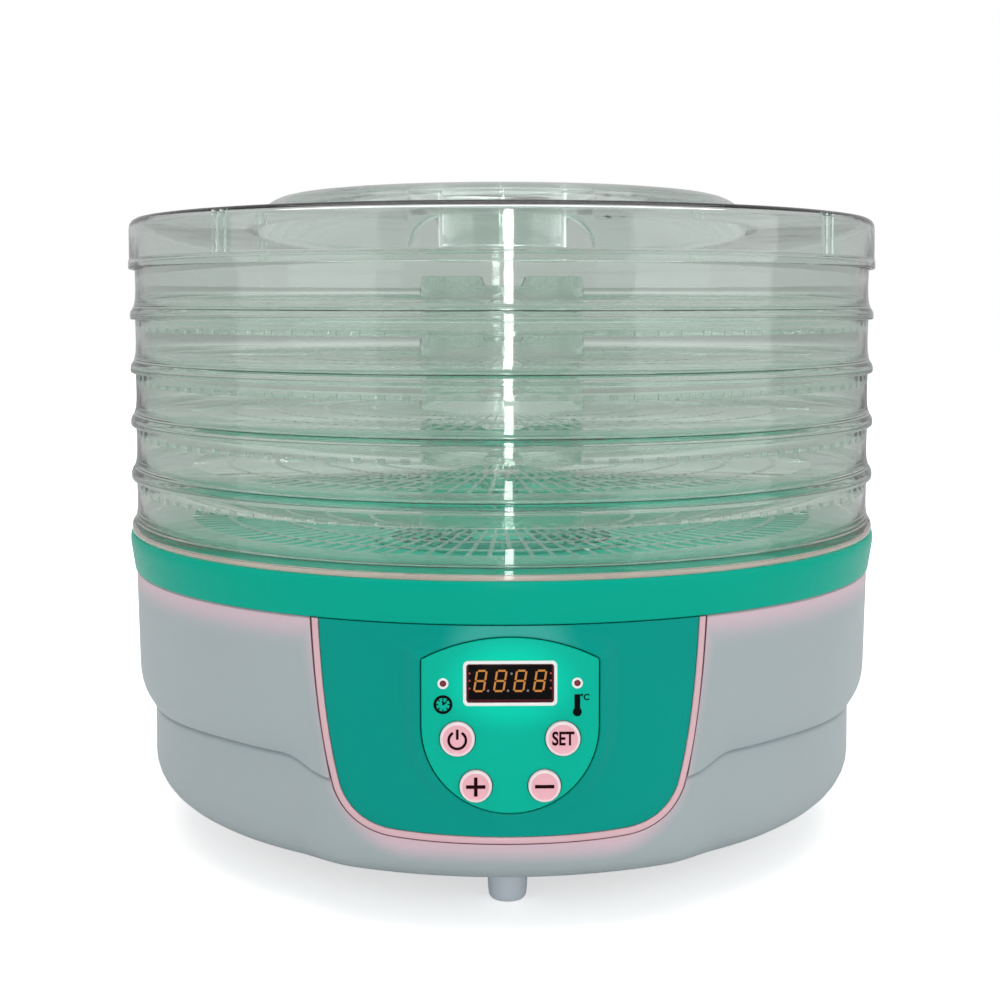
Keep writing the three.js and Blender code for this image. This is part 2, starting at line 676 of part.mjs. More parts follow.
function displayBezel() {
  const frame = displayBox(0, plateFront - BEZEL_STAND, plateBack);
  const seat = displayBox(-BEZEL_EDGE, FRONT, plateBack - WINDOW_BACK);
  const sight = displayBox(-BEZEL_EDGE - WINDOW_LEDGE, FRONT, BEHIND);
  return cut(frame, seat, sight);
}

const displayWindow = () =>
  displayBox(-BEZEL_EDGE - GAP, plateFront - WINDOW_STAND, plateBack - WINDOW_BACK - GAP);

const displayModule = () => displayBox(-WINDOW_LEDGE, plateBack + GAP, boardFront - GAP);

function ledBezel(side) {
  const face = plateFront - LED_BEZEL_STAND;
  return turnedAlongY([
    [LED_RADIUS + GAP, face],
    [LED_BEZEL_RADIUS, face],
    [LED_BEZEL_RADIUS, plateBack],
    [LED_RADIUS + GAP, plateBack],
  ], side * ledOffset, controlZ(DISPLAY_DROP));
}

function led(side) {
  return turnedAlongY([
    [0, plateFront - LED_STAND],
    [LED_RADIUS, plateFront],
    [LED_RADIUS, plateBack + GAP],
    [LED_FLANGE, plateBack + GAP],
    [LED_FLANGE, plateBack + LED_LENGTH],
    [LED_LEG, plateBack + LED_LENGTH],
    [LED_LEG, boardFront - GAP],
    [0, boardFront - GAP],
  ], side * ledOffset, controlZ(DISPLAY_DROP), SLIM);
}

// A round cap with a flange behind the plate and a stem that reaches the switch.
function buttonCap({ x, drop, radius }) {
  const face = plateFront - BUTTON_RISE;
  const flange = plateBack + GAP;
  return turnedAlongY([
    [0, face],
    [radius - BUTTON_EDGE, face],
    [radius, face + BUTTON_EDGE],
    [radius, flange],
    [radius + BUTTON_FLANGE, flange],
    [radius + BUTTON_FLANGE, flange + BUTTON_FLANGE_THICKNESS],
    [STEM_RADIUS, flange + BUTTON_FLANGE_THICKNESS],
    [STEM_RADIUS, stemEnd],
    [0, stemEnd],
  ], x, controlZ(drop));
}

const switchPlunger = ({ x, drop }) =>
  rodAlongY(PLUNGER_RADIUS, stemEnd + GAP, switchFront + PLUNGER_SINK, x, controlZ(drop), SLIM);

function switchBody({ x, drop }) {
  const h = SWITCH_SIZE / 2;
  const z = controlZ(drop);
  const body = box(x - h, x + h, switchFront, boardFront - GAP, z - h, z + h);
  const room = switchFront + PLUNGER_SINK + BUTTON_TRAVEL + GAP;
  return body.subtract(rodAlongY(PLUNGER_RADIUS + GAP, switchFront - OVERCUT, room, x, z, SLIM));
}

function controlBoard() {
  const back = boardFront + BOARD_THICKNESS;
  const board = box(
    -BOARD_HALF, BOARD_HALF, boardFront, back, boardTop - BOARD_HEIGHT, boardTop,
  );
  return cut(board, ...boardPosts().map(([x, z]) =>
    rodAlongY(BOARD_HOLE, boardFront - OVERCUT, back + OVERCUT, x, z, SLIM)));
}

function boardScrew([x, z]) {
  const seat = boardFront + BOARD_THICKNESS + GAP;
  const tip = boardFront - BOARD_SCREW_LENGTH;
  return turnedAlongY([
    [0, tip],
    [BOARD_SCREW_RADIUS, tip],
    [BOARD_SCREW_RADIUS, seat],
    [BOARD_SCREW_HEAD, seat],
    [BOARD_SCREW_HEAD, seat + BOARD_THICKNESS],
    [0, seat + BOARD_THICKNESS],
  ], x, z, SLIM);
}

// ------------------------------------------------------------------ fan, heater and power board

// The middles of the four posts under the power board.
function powerPosts() {
  const x = POWER_BOARD_WIDTH / 2 - POWER_POST_INSET;
  const y = POWER_BOARD_DEPTH / 2 - POWER_POST_INSET;
  return [[-x, -y], [x, -y], [-x, y], [x, y]].map(([px, py]) => [px, py + powerBoardY]);
}

// A box on the power board's middle line, centred on x, from a height up.
function onPowerBoard(x, width, depth, bottom, height) {
  const y = powerBoardY;
  return box(x - width / 2, x + width / 2, y - depth / 2, y + depth / 2, bottom, bottom + height);
}

const powerBoard = () =>
  onPowerBoard(0, POWER_BOARD_WIDTH, POWER_BOARD_DEPTH, powerBoardBottom, BOARD_THICKNESS);

const relay = () =>
  onPowerBoard(RELAY_OFFSET, RELAY_LENGTH, RELAY_WIDTH, powerBoardTop + GAP, RELAY_WIDTH);

function capacitor() {
  const base = powerBoardTop + GAP;
  return rod(CAPACITOR_RADIUS, base, base + CAPACITOR_HEIGHT, CAPACITOR_OFFSET, powerBoardY);
}

// A flat cable from the power board up to the back of the control board.
function ribbonCable() {
  const y0 = powerBoardY - POWER_BOARD_DEPTH / 3;
  const y1 = boardFront + BOARD_THICKNESS + GAP;
  const z0 = powerBoardTop + GAP;
  const z1 = controlZ(PLATE_CORNER_DROP) - CABLE_DROP;
  const t = CABLE_THICKNESS;
  const bend = 6 * t; // straight length before each bend
  const side = [
    [y0, z0], [y0 + t, z0], [y0 + t, z0 + bend + t / 2], [y1 + bend + t / 2, z1 + t],
    [y1, z1 + t], [y1, z1], [y1 + bend, z1], [y0, z0 + bend],
  ];
  const shape = new THREE.Shape(side.map(([y, z]) => new THREE.Vector2(y, z)));
  const geometry = new THREE.ExtrudeGeometry(shape, { depth: CABLE_WIDTH, bevelEnabled: false });
  const upright = new THREE.Matrix4().makeBasis(
    new THREE.Vector3(0, 1, 0), new THREE.Vector3(0, 0, 1), new THREE.Vector3(1, 0, 0),
  );
  return solid(geometry.applyMatrix4(upright).translate(-CABLE_WIDTH / 2, 0, 0));
}

// Four arms on the shell's posts, which carry the motor.
function motorBracket() {
  const bottom = bracketTop - BRACKET_THICKNESS;
  const half = BRACKET_WIDTH / 2;
  const arm = box(-BRACKET_REACH, BRACKET_REACH, -half, half, bottom, bracketTop);
  return joined(
    arm.rotate([0, 0, 45]), arm.rotate([0, 0, -45]), rod(BRACKET_HUB, bottom, bracketTop),
  );
}

function fanMotor() {
  const bottom = bracketTop + GAP;
  const bossTop = motorTop + MOTOR_BOSS_HEIGHT;
  const body = turned([
    [0, bottom],
    [MOTOR_RADIUS, bottom],
    [MOTOR_RADIUS, motorTop - MOTOR_BEVEL],
    [MOTOR_RADIUS - MOTOR_BEVEL, motorTop],
    [MOTOR_BOSS, motorTop],
    [MOTOR_BOSS, bossTop],
    [0, bossTop],
  ], 2 * SMALL);
  const bore = rod(SHAFT_RADIUS + GAP, motorTop - SHAFT_SEAT - OVERCUT, bossTop + OVERCUT);
  return body.subtract(bore);
}

const motorShaft = () => rod(SHAFT_RADIUS, motorTop - SHAFT_SEAT, hubTop + SHAFT_TIP);

// A hub with pitched blades, pushed on the shaft.
function fanImpeller() {
  const middle = (hubBottom + hubTop) / 2;
  const span = bladeRadius - BLADE_ROOT;
  const plank = new THREE.BoxGeometry(span, BLADE_WIDTH, BLADE_THICKNESS);
  plank.translate(BLADE_ROOT + span / 2, 0, 0);
  plank.rotateX(THREE.MathUtils.degToRad(BLADE_PITCH)).translate(0, 0, middle);
  const slab = rod(bladeRadius, hubBottom, hubTop, 0, 0, BIG);
  const hub = rod(HUB_RADIUS, hubBottom, hubTop, 0, 0, 2 * SMALL);
  const blades = around(solid(plank), BLADE_COUNT).map((one) => one.intersect(slab));
  return joined(hub, ...blades).subtract(shaftHole());
}

const shaftHole = () => rod(SHAFT_RADIUS + GAP, hubBottom - OVERCUT, domeTop);

const impellerNut = () =>
  rod(NUT_RADIUS, hubTop + GAP, hubTop + GAP + NUT_HEIGHT, 0, 0, 6).subtract(shaftHole());

// Sheet metal tube round the fan and the heater, hung by its flange under the deck.
function fanDuct() {
  const inner = DUCT_RADIUS - DUCT_WALL;
  const bottom = ductTop - DUCT_LENGTH;
  const flange = DUCT_RADIUS + DUCT_FLANGE;
  return turned([
    [inner, bottom],
    [DUCT_RADIUS, bottom],
    [DUCT_RADIUS, ductTop - DUCT_WALL],
    [flange, ductTop - DUCT_WALL],
    [flange, ductTop],
    [inner, ductTop],
  ]);
}

const coilRing = (thickness) =>
  solid(new THREE.TorusGeometry(COIL_RADIUS, thickness, 6, 24).translate(0, 0, heaterZ));

// Crossed mica plates, edged into the duct, that the heating coil threads through.
function heaterSupport() {
  const reach = (DUCT_RADIUS - DUCT_WALL) * Math.cos(Math.PI / BIG) - GAP;
  const half = MICA_THICKNESS / 2;
  const plate = box(
    -reach, reach, -half, half, heaterZ - MICA_HALF_HEIGHT, heaterZ + MICA_HALF_HEIGHT,
  );
  const cross = joined(plate, plate.rotate([0, 0, 90]));
  return cross.subtract(coilRing(COIL_THICKNESS + GAP));
}

function thermalCutout() {
  const side = DUCT_RADIUS + GAP;
  return box(
    -side - CUTOUT_DEPTH, -side, -CUTOUT_WIDTH / 2, CUTOUT_WIDTH / 2,
    heaterZ - CUTOUT_BELOW, heaterZ + CUTOUT_ABOVE,
  );
}

// A bead thermistor under the deck's inner edge, between the two mica plates.
function temperatureSensor() {
  const middle = (outletRadius + DUCT_RADIUS - DUCT_WALL) / 2;
  const top = deckBottom - GAP;
  return rod(SENSOR_RADIUS, top - SENSOR_LENGTH, top, middle, 0, SLIM).rotate([0, 0, 45]);
}

// ------------------------------------------------------------------ trays and lid

// One tray with its floor's underside at height 0. The bead round its foot drops over the rim below.
function tray() {
  const beadInner = TRAY_RADIUS + GAP;
  const beadOuter = beadInner + BEAD_WALL;
  const skirtOuter = trayInner - SKIRT_PLAY;
  const skirtInner = skirtOuter - SKIRT_WALL;
  const bore = COLLAR_RADIUS - TRAY_WALL;
  const ring = turned([
    [bore, 0],
    [skirtInner, 0],
    [skirtInner, -SKIRT_DROP],
    [skirtOuter, -SKIRT_DROP],
    [skirtOuter, 0],
    [beadInner, 0],
    [beadInner, -BEAD_DROP],
    [beadOuter, -BEAD_DROP],
    [beadOuter, BEAD_TOP],
    [TRAY_RADIUS, BEAD_TOP + BEAD_BEVEL],
    [TRAY_RADIUS, trayWallTop],
    [trayInner, trayWallTop],
    [trayInner, FLOOR_THICKNESS],
    [COLLAR_RADIUS, FLOOR_THICKNESS],
    [COLLAR_RADIUS, COLLAR_HEIGHT],
    [bore, COLLAR_HEIGHT],
  ]);
  const slot = box(
    COLLAR_RADIUS + SLOT_START, trayInner - SLOT_END, -SLOT_WIDTH / 2, SLOT_WIDTH / 2,
    -OVERCUT, FLOOR_THICKNESS + OVERCUT,
  );
  const notch = box(
    bore - NOTCH_DEPTH, COLLAR_RADIUS + OVERCUT, -NOTCH_WIDTH / 2, NOTCH_WIDTH / 2,
    COLLAR_HEIGHT - NOTCH_DEPTH, COLLAR_HEIGHT + OVERCUT,
  );
  return cut(ring, ...around(slot, SLOT_COUNT, 180 / SLOT_COUNT), ...around(notch, 4));
}

// The lid's outer profile, or its inner one when a wall's thickness is taken off.
function domeProfile(depth) {
  const crown = domeTop - depth;
  const edge = [90, 60, 30, 0].map((degrees) => {
    const a = THREE.MathUtils.degToRad(degrees);
    const radius = DOME_RADIUS - depth + DOME_EDGE * (Math.cos(a) - 1);
    return [radius, crown + DOME_HEIGHT * (Math.sin(a) - 1)];
  });
  return [[WELL_RADIUS + depth, crown], ...edge];
}

function lid() {
  const skirtInner = TRAY_RADIUS + LID_PLAY;
  const skirtOuter = skirtInner + LID_WALL;
  const wellFloor = domeTop - WELL_DEPTH;
  const outer = [
    [skirtOuter, lidBottom],
    [skirtOuter, lidTop - LID_CORNER],
    [skirtOuter - LID_BEVEL, lidTop - LID_BEVEL],
    [skirtOuter - LID_CORNER, lidTop],
    ...domeProfile(0).reverse(),
    [WELL_RADIUS, wellFloor + LID_WALL],
    [0, wellFloor + LID_WALL],
  ];
  const inner = [
    [0, wellFloor],
    [WELL_RADIUS + LID_WALL, wellFloor],
    ...domeProfile(LID_WALL),
    [skirtInner - LID_CORNER + LID_BEVEL, lidTop - LID_WALL],
    [skirtInner, lidTop - LID_CORNER - LID_BEVEL],
    [skirtInner, lidBottom],
  ];
  const cap = turned([...inner, ...outer]);
  const gripEnd = WELL_RADIUS + LID_WALL / 2;
  const grip = box(
    -gripEnd, gripEnd, -GRIP_WIDTH / 2, GRIP_WIDTH / 2, domeTop - GRIP_THICKNESS, domeTop,
  );
  const rib = box(
    trayInner, skirtInner + LID_WALL / 2, -CLIP_THICKNESS / 2, CLIP_THICKNESS / 2,
    stackTop + GAP, lidTop - LID_WALL / 2,
  );
  const ribs = [-CLIP_TURN, CLIP_TURN].flatMap((turn) => around(rib, CLIP_COUNT, 45 + turn));
  const ventStart = DOME_RADIUS - VENT_START;
  const vent = box(
    ventStart, ventStart + VENT_LENGTH, -VENT_WIDTH / 2, VENT_WIDTH / 2,
    lidTop, domeTop + OVERCUT,
  );
  const vents = [-VENT_TURN, 0, VENT_TURN].flatMap((turn) => around(vent, 4, 45 + turn));
  return cut(joined(cap, grip, ...ribs), ...vents);
}

// ------------------------------------------------------------------ assembly

add("housing_shell", housingShell(), MATERIALS.shell);
add("upper_cover", upperCover(), MATERIALS.green);
add("outlet_grille", outletGrille(), MATERIALS.green);
add("front_panel", frontPanel(), MATERIALS.panel);
add("panel_trim", panelTrim(), MATERIALS.pink);
[["front", 0, -1], ["right", 1, 0], ["back", 0, 1], ["left", -1, 0]].forEach(([side, x, y]) =>
  add(`foot_${side}`, foot(x * FOOT_CIRCLE, y * FOOT_CIRCLE), MATERIALS.rubber));
[45, 135, 225, 315].forEach((angle, i) =>
  add(`case_screw_${i + 1}`, caseScrew(angle), MATERIALS.steel));
add("cord_gland", cordGland(), MATERIALS.dark);

add("control_plate", controlPlate(), MATERIALS.plate);
add("display_bezel", displayBezel(), MATERIALS.white);
add("display_window", displayWindow(), MATERIALS.window);
add("display_module", displayModule(), MATERIALS.dark);
add("timer_led_bezel", ledBezel(-1), MATERIALS.white);
add("heat_led_bezel", ledBezel(1), MATERIALS.white);
add("timer_led", led(-1), MATERIALS.led);
add("heat_led", led(1), MATERIALS.led);
for (const button of buttons) {
  add(`${button.name}_button`, buttonCap(button), MATERIALS.pink);
  add(`${button.name}_plunger`, switchPlunger(button), MATERIALS.dark);
  add(`${button.name}_switch`, switchBody(button), MATERIALS.dark);
}
add("control_board", controlBoard(), MATERIALS.board);
boardPosts().forEach((post, i) => add(`board_screw_${i + 1}`, boardScrew(post), MATERIALS.steel));

add("power_board", powerBoard(), MATERIALS.board);
add("heater_relay", relay(), MATERIALS.relay);
add("filter_capacitor", capacitor(), MATERIALS.dark);
add("ribbon_cable", ribbonCable(), MATERIALS.cable);
add("motor_bracket", motorBracket(), MATERIALS.steel);
add("fan_motor", fanMotor(), MATERIALS.steel);
add("motor_shaft", motorShaft(), MATERIALS.steel);
add("fan_impeller", fanImpeller(), MATERIALS.impeller);
add("impeller_nut", impellerNut(), MATERIALS.steel);
add("fan_duct", fanDuct(), MATERIALS.steel);
add("heater_support", heaterSupport(), MATERIALS.mica);
add("heater_coil", coilRing(COIL_THICKNESS), MATERIALS.copper);
add("thermal_cutout", thermalCutout(), MATERIALS.dark);
add("temperature_sensor", temperatureSensor(), MATERIALS.dark);

const oneTray = tray();
for (let i = 0; i < TRAY_COUNT; i += 1) {
  const placed = oneTray.translate([0, 0, firstFloor + i * TRAY_PITCH]);
  add(`tray_${i + 1}`, placed, clear());
}
add("lid", lid(), clear());

export default dehydrator;
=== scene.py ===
# %% [markdown]
# # A round food dehydrator
# The finished object is a bowl-shaped base with a control panel, five clear trays that stack on it
# and a clear lid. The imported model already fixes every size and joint, so this lesson only makes
# the surfaces that the eye sees: smooth mouldings, fine grids, printed signs and real plastics.
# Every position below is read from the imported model's own boxes.

# %% Load the frame
import json
import math

import bmesh
import bpy
from mathutils import Matrix, Vector


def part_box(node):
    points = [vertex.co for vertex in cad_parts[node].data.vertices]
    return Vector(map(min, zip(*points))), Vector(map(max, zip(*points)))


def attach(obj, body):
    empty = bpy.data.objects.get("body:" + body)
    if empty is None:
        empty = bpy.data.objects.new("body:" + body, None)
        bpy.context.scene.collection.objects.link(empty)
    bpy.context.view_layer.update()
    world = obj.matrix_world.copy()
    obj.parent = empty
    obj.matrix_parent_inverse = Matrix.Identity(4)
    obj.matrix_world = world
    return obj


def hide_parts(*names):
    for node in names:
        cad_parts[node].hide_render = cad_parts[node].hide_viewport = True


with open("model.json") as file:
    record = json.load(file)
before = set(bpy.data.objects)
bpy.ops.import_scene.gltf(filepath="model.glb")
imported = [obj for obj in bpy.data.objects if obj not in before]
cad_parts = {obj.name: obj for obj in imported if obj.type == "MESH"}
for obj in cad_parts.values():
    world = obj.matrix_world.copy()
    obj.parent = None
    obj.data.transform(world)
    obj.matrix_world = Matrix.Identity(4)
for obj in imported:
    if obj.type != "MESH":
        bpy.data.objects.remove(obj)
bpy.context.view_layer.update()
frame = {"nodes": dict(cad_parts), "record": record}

MM = 0.001


# %% Read sizes in millimetres
class Span:
    """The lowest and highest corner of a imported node, in millimetres."""

    def __init__(self, node):
        low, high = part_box(node)
        self.low = Vector(low) / MM
        self.high = Vector(high) / MM
        self.middle = (self.low + self.high) / 2
        self.size = self.high - self.low


shell = Span("housing_shell")
cover = Span("upper_cover")
first_tray = Span("tray_1")
lid = Span("lid")
plate = Span("control_plate")
TRAYS = [f"tray_{i}" for i in range(1, 6)]
GAP = 0.3  # clearance between pieces that meet
print("ring radius", round(cover.high.x, 1), "shell height", round(shell.size.z, 1))

# %% [markdown]
# ## The camera comes first
# It stands a little above the lid and close by, so the rings read as open curves. It is turned a
# little to the object's left, and the lens shift keeps the upright lines upright.

# %% Camera
EYE_DISTANCE = 684.5
EYE_HEIGHT = 218.3
EYE_TURN = math.radians(1.05)
EYE_PITCH = math.radians(3)
LENS, SENSOR = 56, 36  # millimetres
SHIFT = (-0.0017, -0.1121)  # in sensor widths

camera_data = bpy.data.cameras.new("camera")
camera_data.lens = LENS
camera_data.sensor_width = SENSOR
camera_data.shift_x, camera_data.shift_y = SHIFT
camera_data.clip_start = 0.05
camera = bpy.data.objects.new("camera", camera_data)
bpy.context.scene.collection.objects.link(camera)
camera.location = Vector((
    -EYE_DISTANCE * math.sin(EYE_TURN), -EYE_DISTANCE * math.cos(EYE_TURN), EYE_HEIGHT)) * MM
camera.rotation_euler = (math.pi / 2 - EYE_PITCH, 0, -EYE_TURN)
bpy.context.scene.camera = camera
print("camera at", [round(v, 3) for v in camera.location])

# %% [markdown]
# ## Finishes
# Almost everything here is moulded plastic. Real mouldings are never one flat colour: they have a
# faint cloudiness, a fine orange-peel texture and a gloss that changes from place to place. One
# helper makes such a plastic, with noise read from the object's own coordinates, so the pattern
# stays on the piece when it moves.


# %% Colours and shader nodes
def paint(red, green, blue):
    """A colour given as 0 to 255 on screen, as the linear colour that a shader wants."""
    def linear(value):
        value /= 255
        return value / 12.92 if value <= 0.04045 else ((value + 0.055) / 1.055) ** 2.4
    return (linear(red), linear(green), linear(blue), 1)


def fill(tree, made, inputs):
    """Gives each named input of a node a value or another node's output."""
    for key, value in inputs.items():
        if isinstance(value, bpy.types.NodeSocket):
            tree.links.new(value, made.inputs[key])
        else:
            made.inputs[key].default_value = value


def node(tree, kind, inputs, **settings):
    """A new node with its settings and inputs; what comes back is its outputs."""
    made = tree.nodes.new(kind)
    for key, value in settings.items():
        setattr(made, key, value)
    fill(tree, made, inputs)
    return made.outputs


def math_node(tree, operation, *terms):
    """One sum in a tree."""
    return node(tree, "ShaderNodeMath", dict(enumerate(terms)), operation=operation)["Value"]


def length_of(tree, vector):
    """The length of a vector."""
    return node(tree, "ShaderNodeVectorMath", {0: vector}, operation="LENGTH")["Value"]


def own_place(tree):
    """The piece's own coordinates, which stay with it when it moves."""
    return node(tree, "ShaderNodeTexCoord", {})["Object"]


def noise(tree, scale, detail=3):
    """A noise on the piece's own coordinates."""
    return node(tree, "ShaderNodeTexNoise", {
        "Vector": own_place(tree), "Scale": scale, "Detail": detail})["Fac"]


def bumps(tree, scale, height, strength=0.35, detail=3):
    """A fine moulded grain, as a normal."""
    return node(tree, "ShaderNodeBump", {
        "Strength": strength, "Distance": height * MM,
        "Height": noise(tree, scale, detail)})["Normal"]


def spread(tree, source, low, high, start=0.0, end=1.0, kind="LINEAR"):
    """Maps the range from start to end onto the range from low to high."""
    return node(tree, "ShaderNodeMapRange", {
        "Value": source, "From Min": start, "From Max": end, "To Min": low, "To Max": high},
        interpolation_type=kind)["Result"]


def blend(tree, share, first, second):
    """A mix of two colours."""
    return node(tree, "ShaderNodeMix", {"Factor": share, "A": first, "B": second},
                data_type="RGBA")["Result"]


def either(tree, when, no, yes):
    """One shader or, where a value is 1, the other."""
    return node(tree, "ShaderNodeMixShader", {0: when, 1: no, 2: yes})["Shader"]


def cloudy(tree, colour, amount, scale):
    """The colour, a little darker and lighter from place to place."""
    darker, lighter = ([min(1, c * k) for c in colour[:3]] + [1] for k in (1 - amount, 1 + amount))
    return blend(tree, noise(tree, scale, 2), darker, lighter)


def new_finish(name, tree_of=lambda tree: {}):
    """A material whose shader gets the inputs that tree_of makes in its tree."""
    material = bpy.data.materials.new(name)
    material.use_nodes = True
    tree = material.node_tree
    fill(tree, tree.nodes["Principled BSDF"], tree_of(tree))
    return material


# %% Opaque plastics
def moulded(name, colour, roughness=0.32, cloud=0.05, grain=900, height=0.05, coat=0.0, shine=0.5):
    """Moulded plastic: cloudy colour, uneven gloss and a fine grain."""
    material = new_finish(name, lambda tree: {
        "Base Color": cloudy(tree, colour, cloud, 14),
        "Roughness": spread(tree, noise(tree, 35), roughness * 0.8, roughness * 1.25),
        "Normal": bumps(tree, grain, height), "IOR": 1.5, "Specular IOR Level": shine,
        "Coat Weight": coat, "Coat Roughness": 0.12})
    material.diffuse_color = colour
    return material


green_ring_finish = moulded("green_ring_plastic", paint(0, 176, 151), 0.26, shine=0.07)
green_panel_finish = moulded("green_panel_plastic", paint(0, 158, 144), 0.3, grain=1500, shine=0.08)
plate_finish = moulded(
    "control_overlay", paint(0, 190, 162), 0.34, grain=1800, height=0.02, shine=0.08)
pink_finish = moulded("pale_pink_plastic", paint(230, 188, 196), 0.3)
# darker pink for the gap round the trim: painted shade
groove_shade_finish = moulded("trim_groove_painted_shade", paint(128, 88, 98), 0.6, shine=0.1)
seam_finish = moulded("ring_seam_plastic", paint(205, 176, 168), 0.3)
button_finish = moulded("button_plastic", paint(255, 186, 198), 0.22, coat=0.4)
# paler rim of a key: a painted highlight
key_rim_highlight_finish = moulded("button_rim_plastic", paint(255, 232, 235), 0.2, coat=0.4)
white_finish = moulded("white_plastic", paint(250, 248, 248), 0.25, cloud=0.01)
ink_finish = moulded("dark_print", paint(8, 10, 10), 0.6, grain=2500, height=0.01, shine=0.05)
maroon_finish = moulded("maroon_print", paint(38, 3, 12), 0.6, grain=2500, height=0.01, shine=0.05)
black_finish = moulded("black_plastic", paint(30, 31, 33), 0.45)
# pale rubber, made paler still against the shade under the body: partly real colour, partly painted
# light
foot_lightened_finish = moulded("foot_rubber_painted_light", paint(222, 232, 240), 0.55, grain=1300, height=0.08)


def paint_highlight_round(material, x, z, reach, colour):
    """Paints a finish lighter round a point of the front: a painted highlight."""
    tree = material.node_tree
    shader = tree.nodes["Principled BSDF"]
    base = shader.inputs["Base Color"].links[0].from_socket
    off = node(tree, "ShaderNodeVectorMath", {
        0: own_place(tree), 1: (0.7, 0, 1), 2: (-0.7 * x * MM, 0, -z * MM)},
        operation="MULTIPLY_ADD")["Vector"]
    highlight_share = spread(tree, length_of(tree, off), 1, 0, 8 * MM, reach * MM, "SMOOTHSTEP")
    fill(tree, shader, {"Base Color": blend(tree, highlight_share, base, colour)})


# painted highlights: on the overlay round the display, and on the green panel just above it
screen = Span("display_bezel").middle
paint_highlight_round(plate_finish, screen.x, screen.z, 19, paint(0, 222, 188))
paint_highlight_round(green_panel_finish, screen.x, screen.z + 13, 18, paint(62, 176, 164))
print("finishes so far:", len(bpy.data.materials))

# %% [markdown]
# ## The shell's plastic
# The pale shell takes a warm pink glow next to the trim and under the ring, where the two colours
# light each other. Two masks from the object's coordinates make it: height for the rim, and
# distance from the front panel's edge for the sides.


# %% Shell finish
GLOW_REACH = 9  # how far the glow reaches past the panel's edge
GLOW_CORNER = 20  # rounding of the glow round the panel
GLOW_FOOT = 33  # height of the panel's lower edge
GLOW_SIDE, GLOW_LEAN = 49, 0.17  # the panel's half width at the floor, and how it widens


def shell_inputs(tree):
    """Pale grey plastic with painted pink reflected light near its upper rim and near the front
    panel.
    """
    across, along, up = node(tree, "ShaderNodeSeparateXYZ", {"Vector": own_place(tree)})

    def falloff(source, start, end):
        return spread(tree, source, 0, 1, start * MM, end * MM, "SMOOTHSTEP")

    edge = math_node(tree, "MULTIPLY_ADD", up, GLOW_LEAN, GLOW_SIDE * MM)
    beyond = math_node(tree, "SUBTRACT", math_node(tree, "ABSOLUTE", across), edge)
    below = math_node(tree, "SUBTRACT", GLOW_FOOT * MM, up)
    corner = node(tree, "ShaderNodeCombineXYZ", {
        axis: math_node(tree, "MAXIMUM", math_node(tree, "ADD", past, GLOW_CORNER * MM), 0.0)
        for axis, past in (("X", beyond), ("Y", below))})["Vector"]
    beside = falloff(length_of(tree, corner), GLOW_CORNER + GLOW_REACH, GLOW_CORNER)
    rim = falloff(up, shell.high.z - 12, shell.high.z + 1)
    # painted reflected light: pink thrown onto the shell by the parts beside it
    glow = math_node(tree, "MULTIPLY", math_node(tree, "MAXIMUM", rim, beside),
                     falloff(along, 40, -60))
    grey = cloudy(tree, paint(172, 184, 187), 0.04, 11)
    return {"Base Color": blend(tree, math_node(tree, "MULTIPLY", glow, 0.85), grey,
                                paint(232, 198, 210)),
            "Roughness": spread(tree, noise(tree, 30), 0.26, 0.42),
            "Normal": bumps(tree, 1100, 0.05)}


shell_finish = new_finish("shell_plastic", shell_inputs)
print("shell finish nodes", len(shell_finish.node_tree.nodes))

# %% [markdown]
# ## Clear plastic
# The trays and the lid are clear styrene, two millimetres thick. They are modelled with a real
# thickness, so the light bends at both faces of a wall as it does in the real one. The base colour
# of a see-through shader tints what passes, and a faint tint builds up over the many walls. Light
# that keeps bouncing inside the plastic is taken as a pale haze, because cut off it would be black.


# %% Clear finish
TRAPPED_AFTER = 12  # light that is still inside the plastic after so many bounces shows as haze


def clear_plastic(name, tint, roughness, passes=1.0):
    """Clear moulded plastic with a slight tint and faint flow marks."""
    material = new_finish(name, lambda tree: {
        "Transmission Weight": passes, "IOR": 1.5, "Base Color": tint, "Roughness": roughness,
        "Normal": bumps(tree, 45, 0.3, 0.25, 2)})
    tree = material.node_tree
    ways = node(tree, "ShaderNodeLightPath", {})
    passing = node(tree, "ShaderNodeBsdfTransparent", {"Color": (0.93, 0.95, 0.94, 1)})["BSDF"]
    haze = node(tree, "ShaderNodeEmission", {"Color": paint(172, 184, 178)})["Emission"]
    deep = math_node(tree, "GREATER_THAN", ways["Ray Depth"], TRAPPED_AFTER)
    trapped = either(tree, deep, tree.nodes["Principled BSDF"].outputs["BSDF"], haze)
    fill(tree, tree.nodes["Material Output"], {
        "Surface": either(tree, ways["Is Shadow Ray"], trapped, passing)})
    return material


tray_finish = clear_plastic("clear_tray_plastic", paint(240, 247, 243), 0.03)
lid_finish = clear_plastic("clear_lid_plastic", paint(242, 248, 245), 0.03)
# white tooth finish: painted highlights, the white dashes along each tray's skirt
tooth_highlight_finish = moulded("tooth_painted_highlight_plastic", paint(232, 240, 236), 0.35)
hazy_finish = clear_plastic("hazy_floor_plastic", paint(240, 245, 242), 0.2, 0.15)
print("see-through finishes made")

# %% [markdown]
# ## Mesh helpers
# Most pieces are either turned, like the shell and the trays, or flat plates with an outline, like
# the control overlay. Two small families of helpers make both kinds as closed solids, with the soft
# edges that come out of a mould. Points are in millimetres and become metres in one place.


# %% From points to an object
def piece(name, points, faces, finish, sharp=38):
    """A closed solid as an object at the origin, from points in millimetres."""
    mesh = bpy.data.meshes.new(name)
    mesh.from_pydata([Vector(p) * MM for p in points], [], faces)
    build = bmesh.new()
    build.from_mesh(mesh)
    bmesh.ops.remove_doubles(build, verts=build.verts, dist=0.002 * MM)
    bmesh.ops.dissolve_degenerate(build, edges=build.edges, dist=0.001 * MM)
    bmesh.ops.recalc_face_normals(build, faces=build.faces)
    build.to_mesh(mesh)
    build.free()
    return dress(name, mesh, finish, sharp)


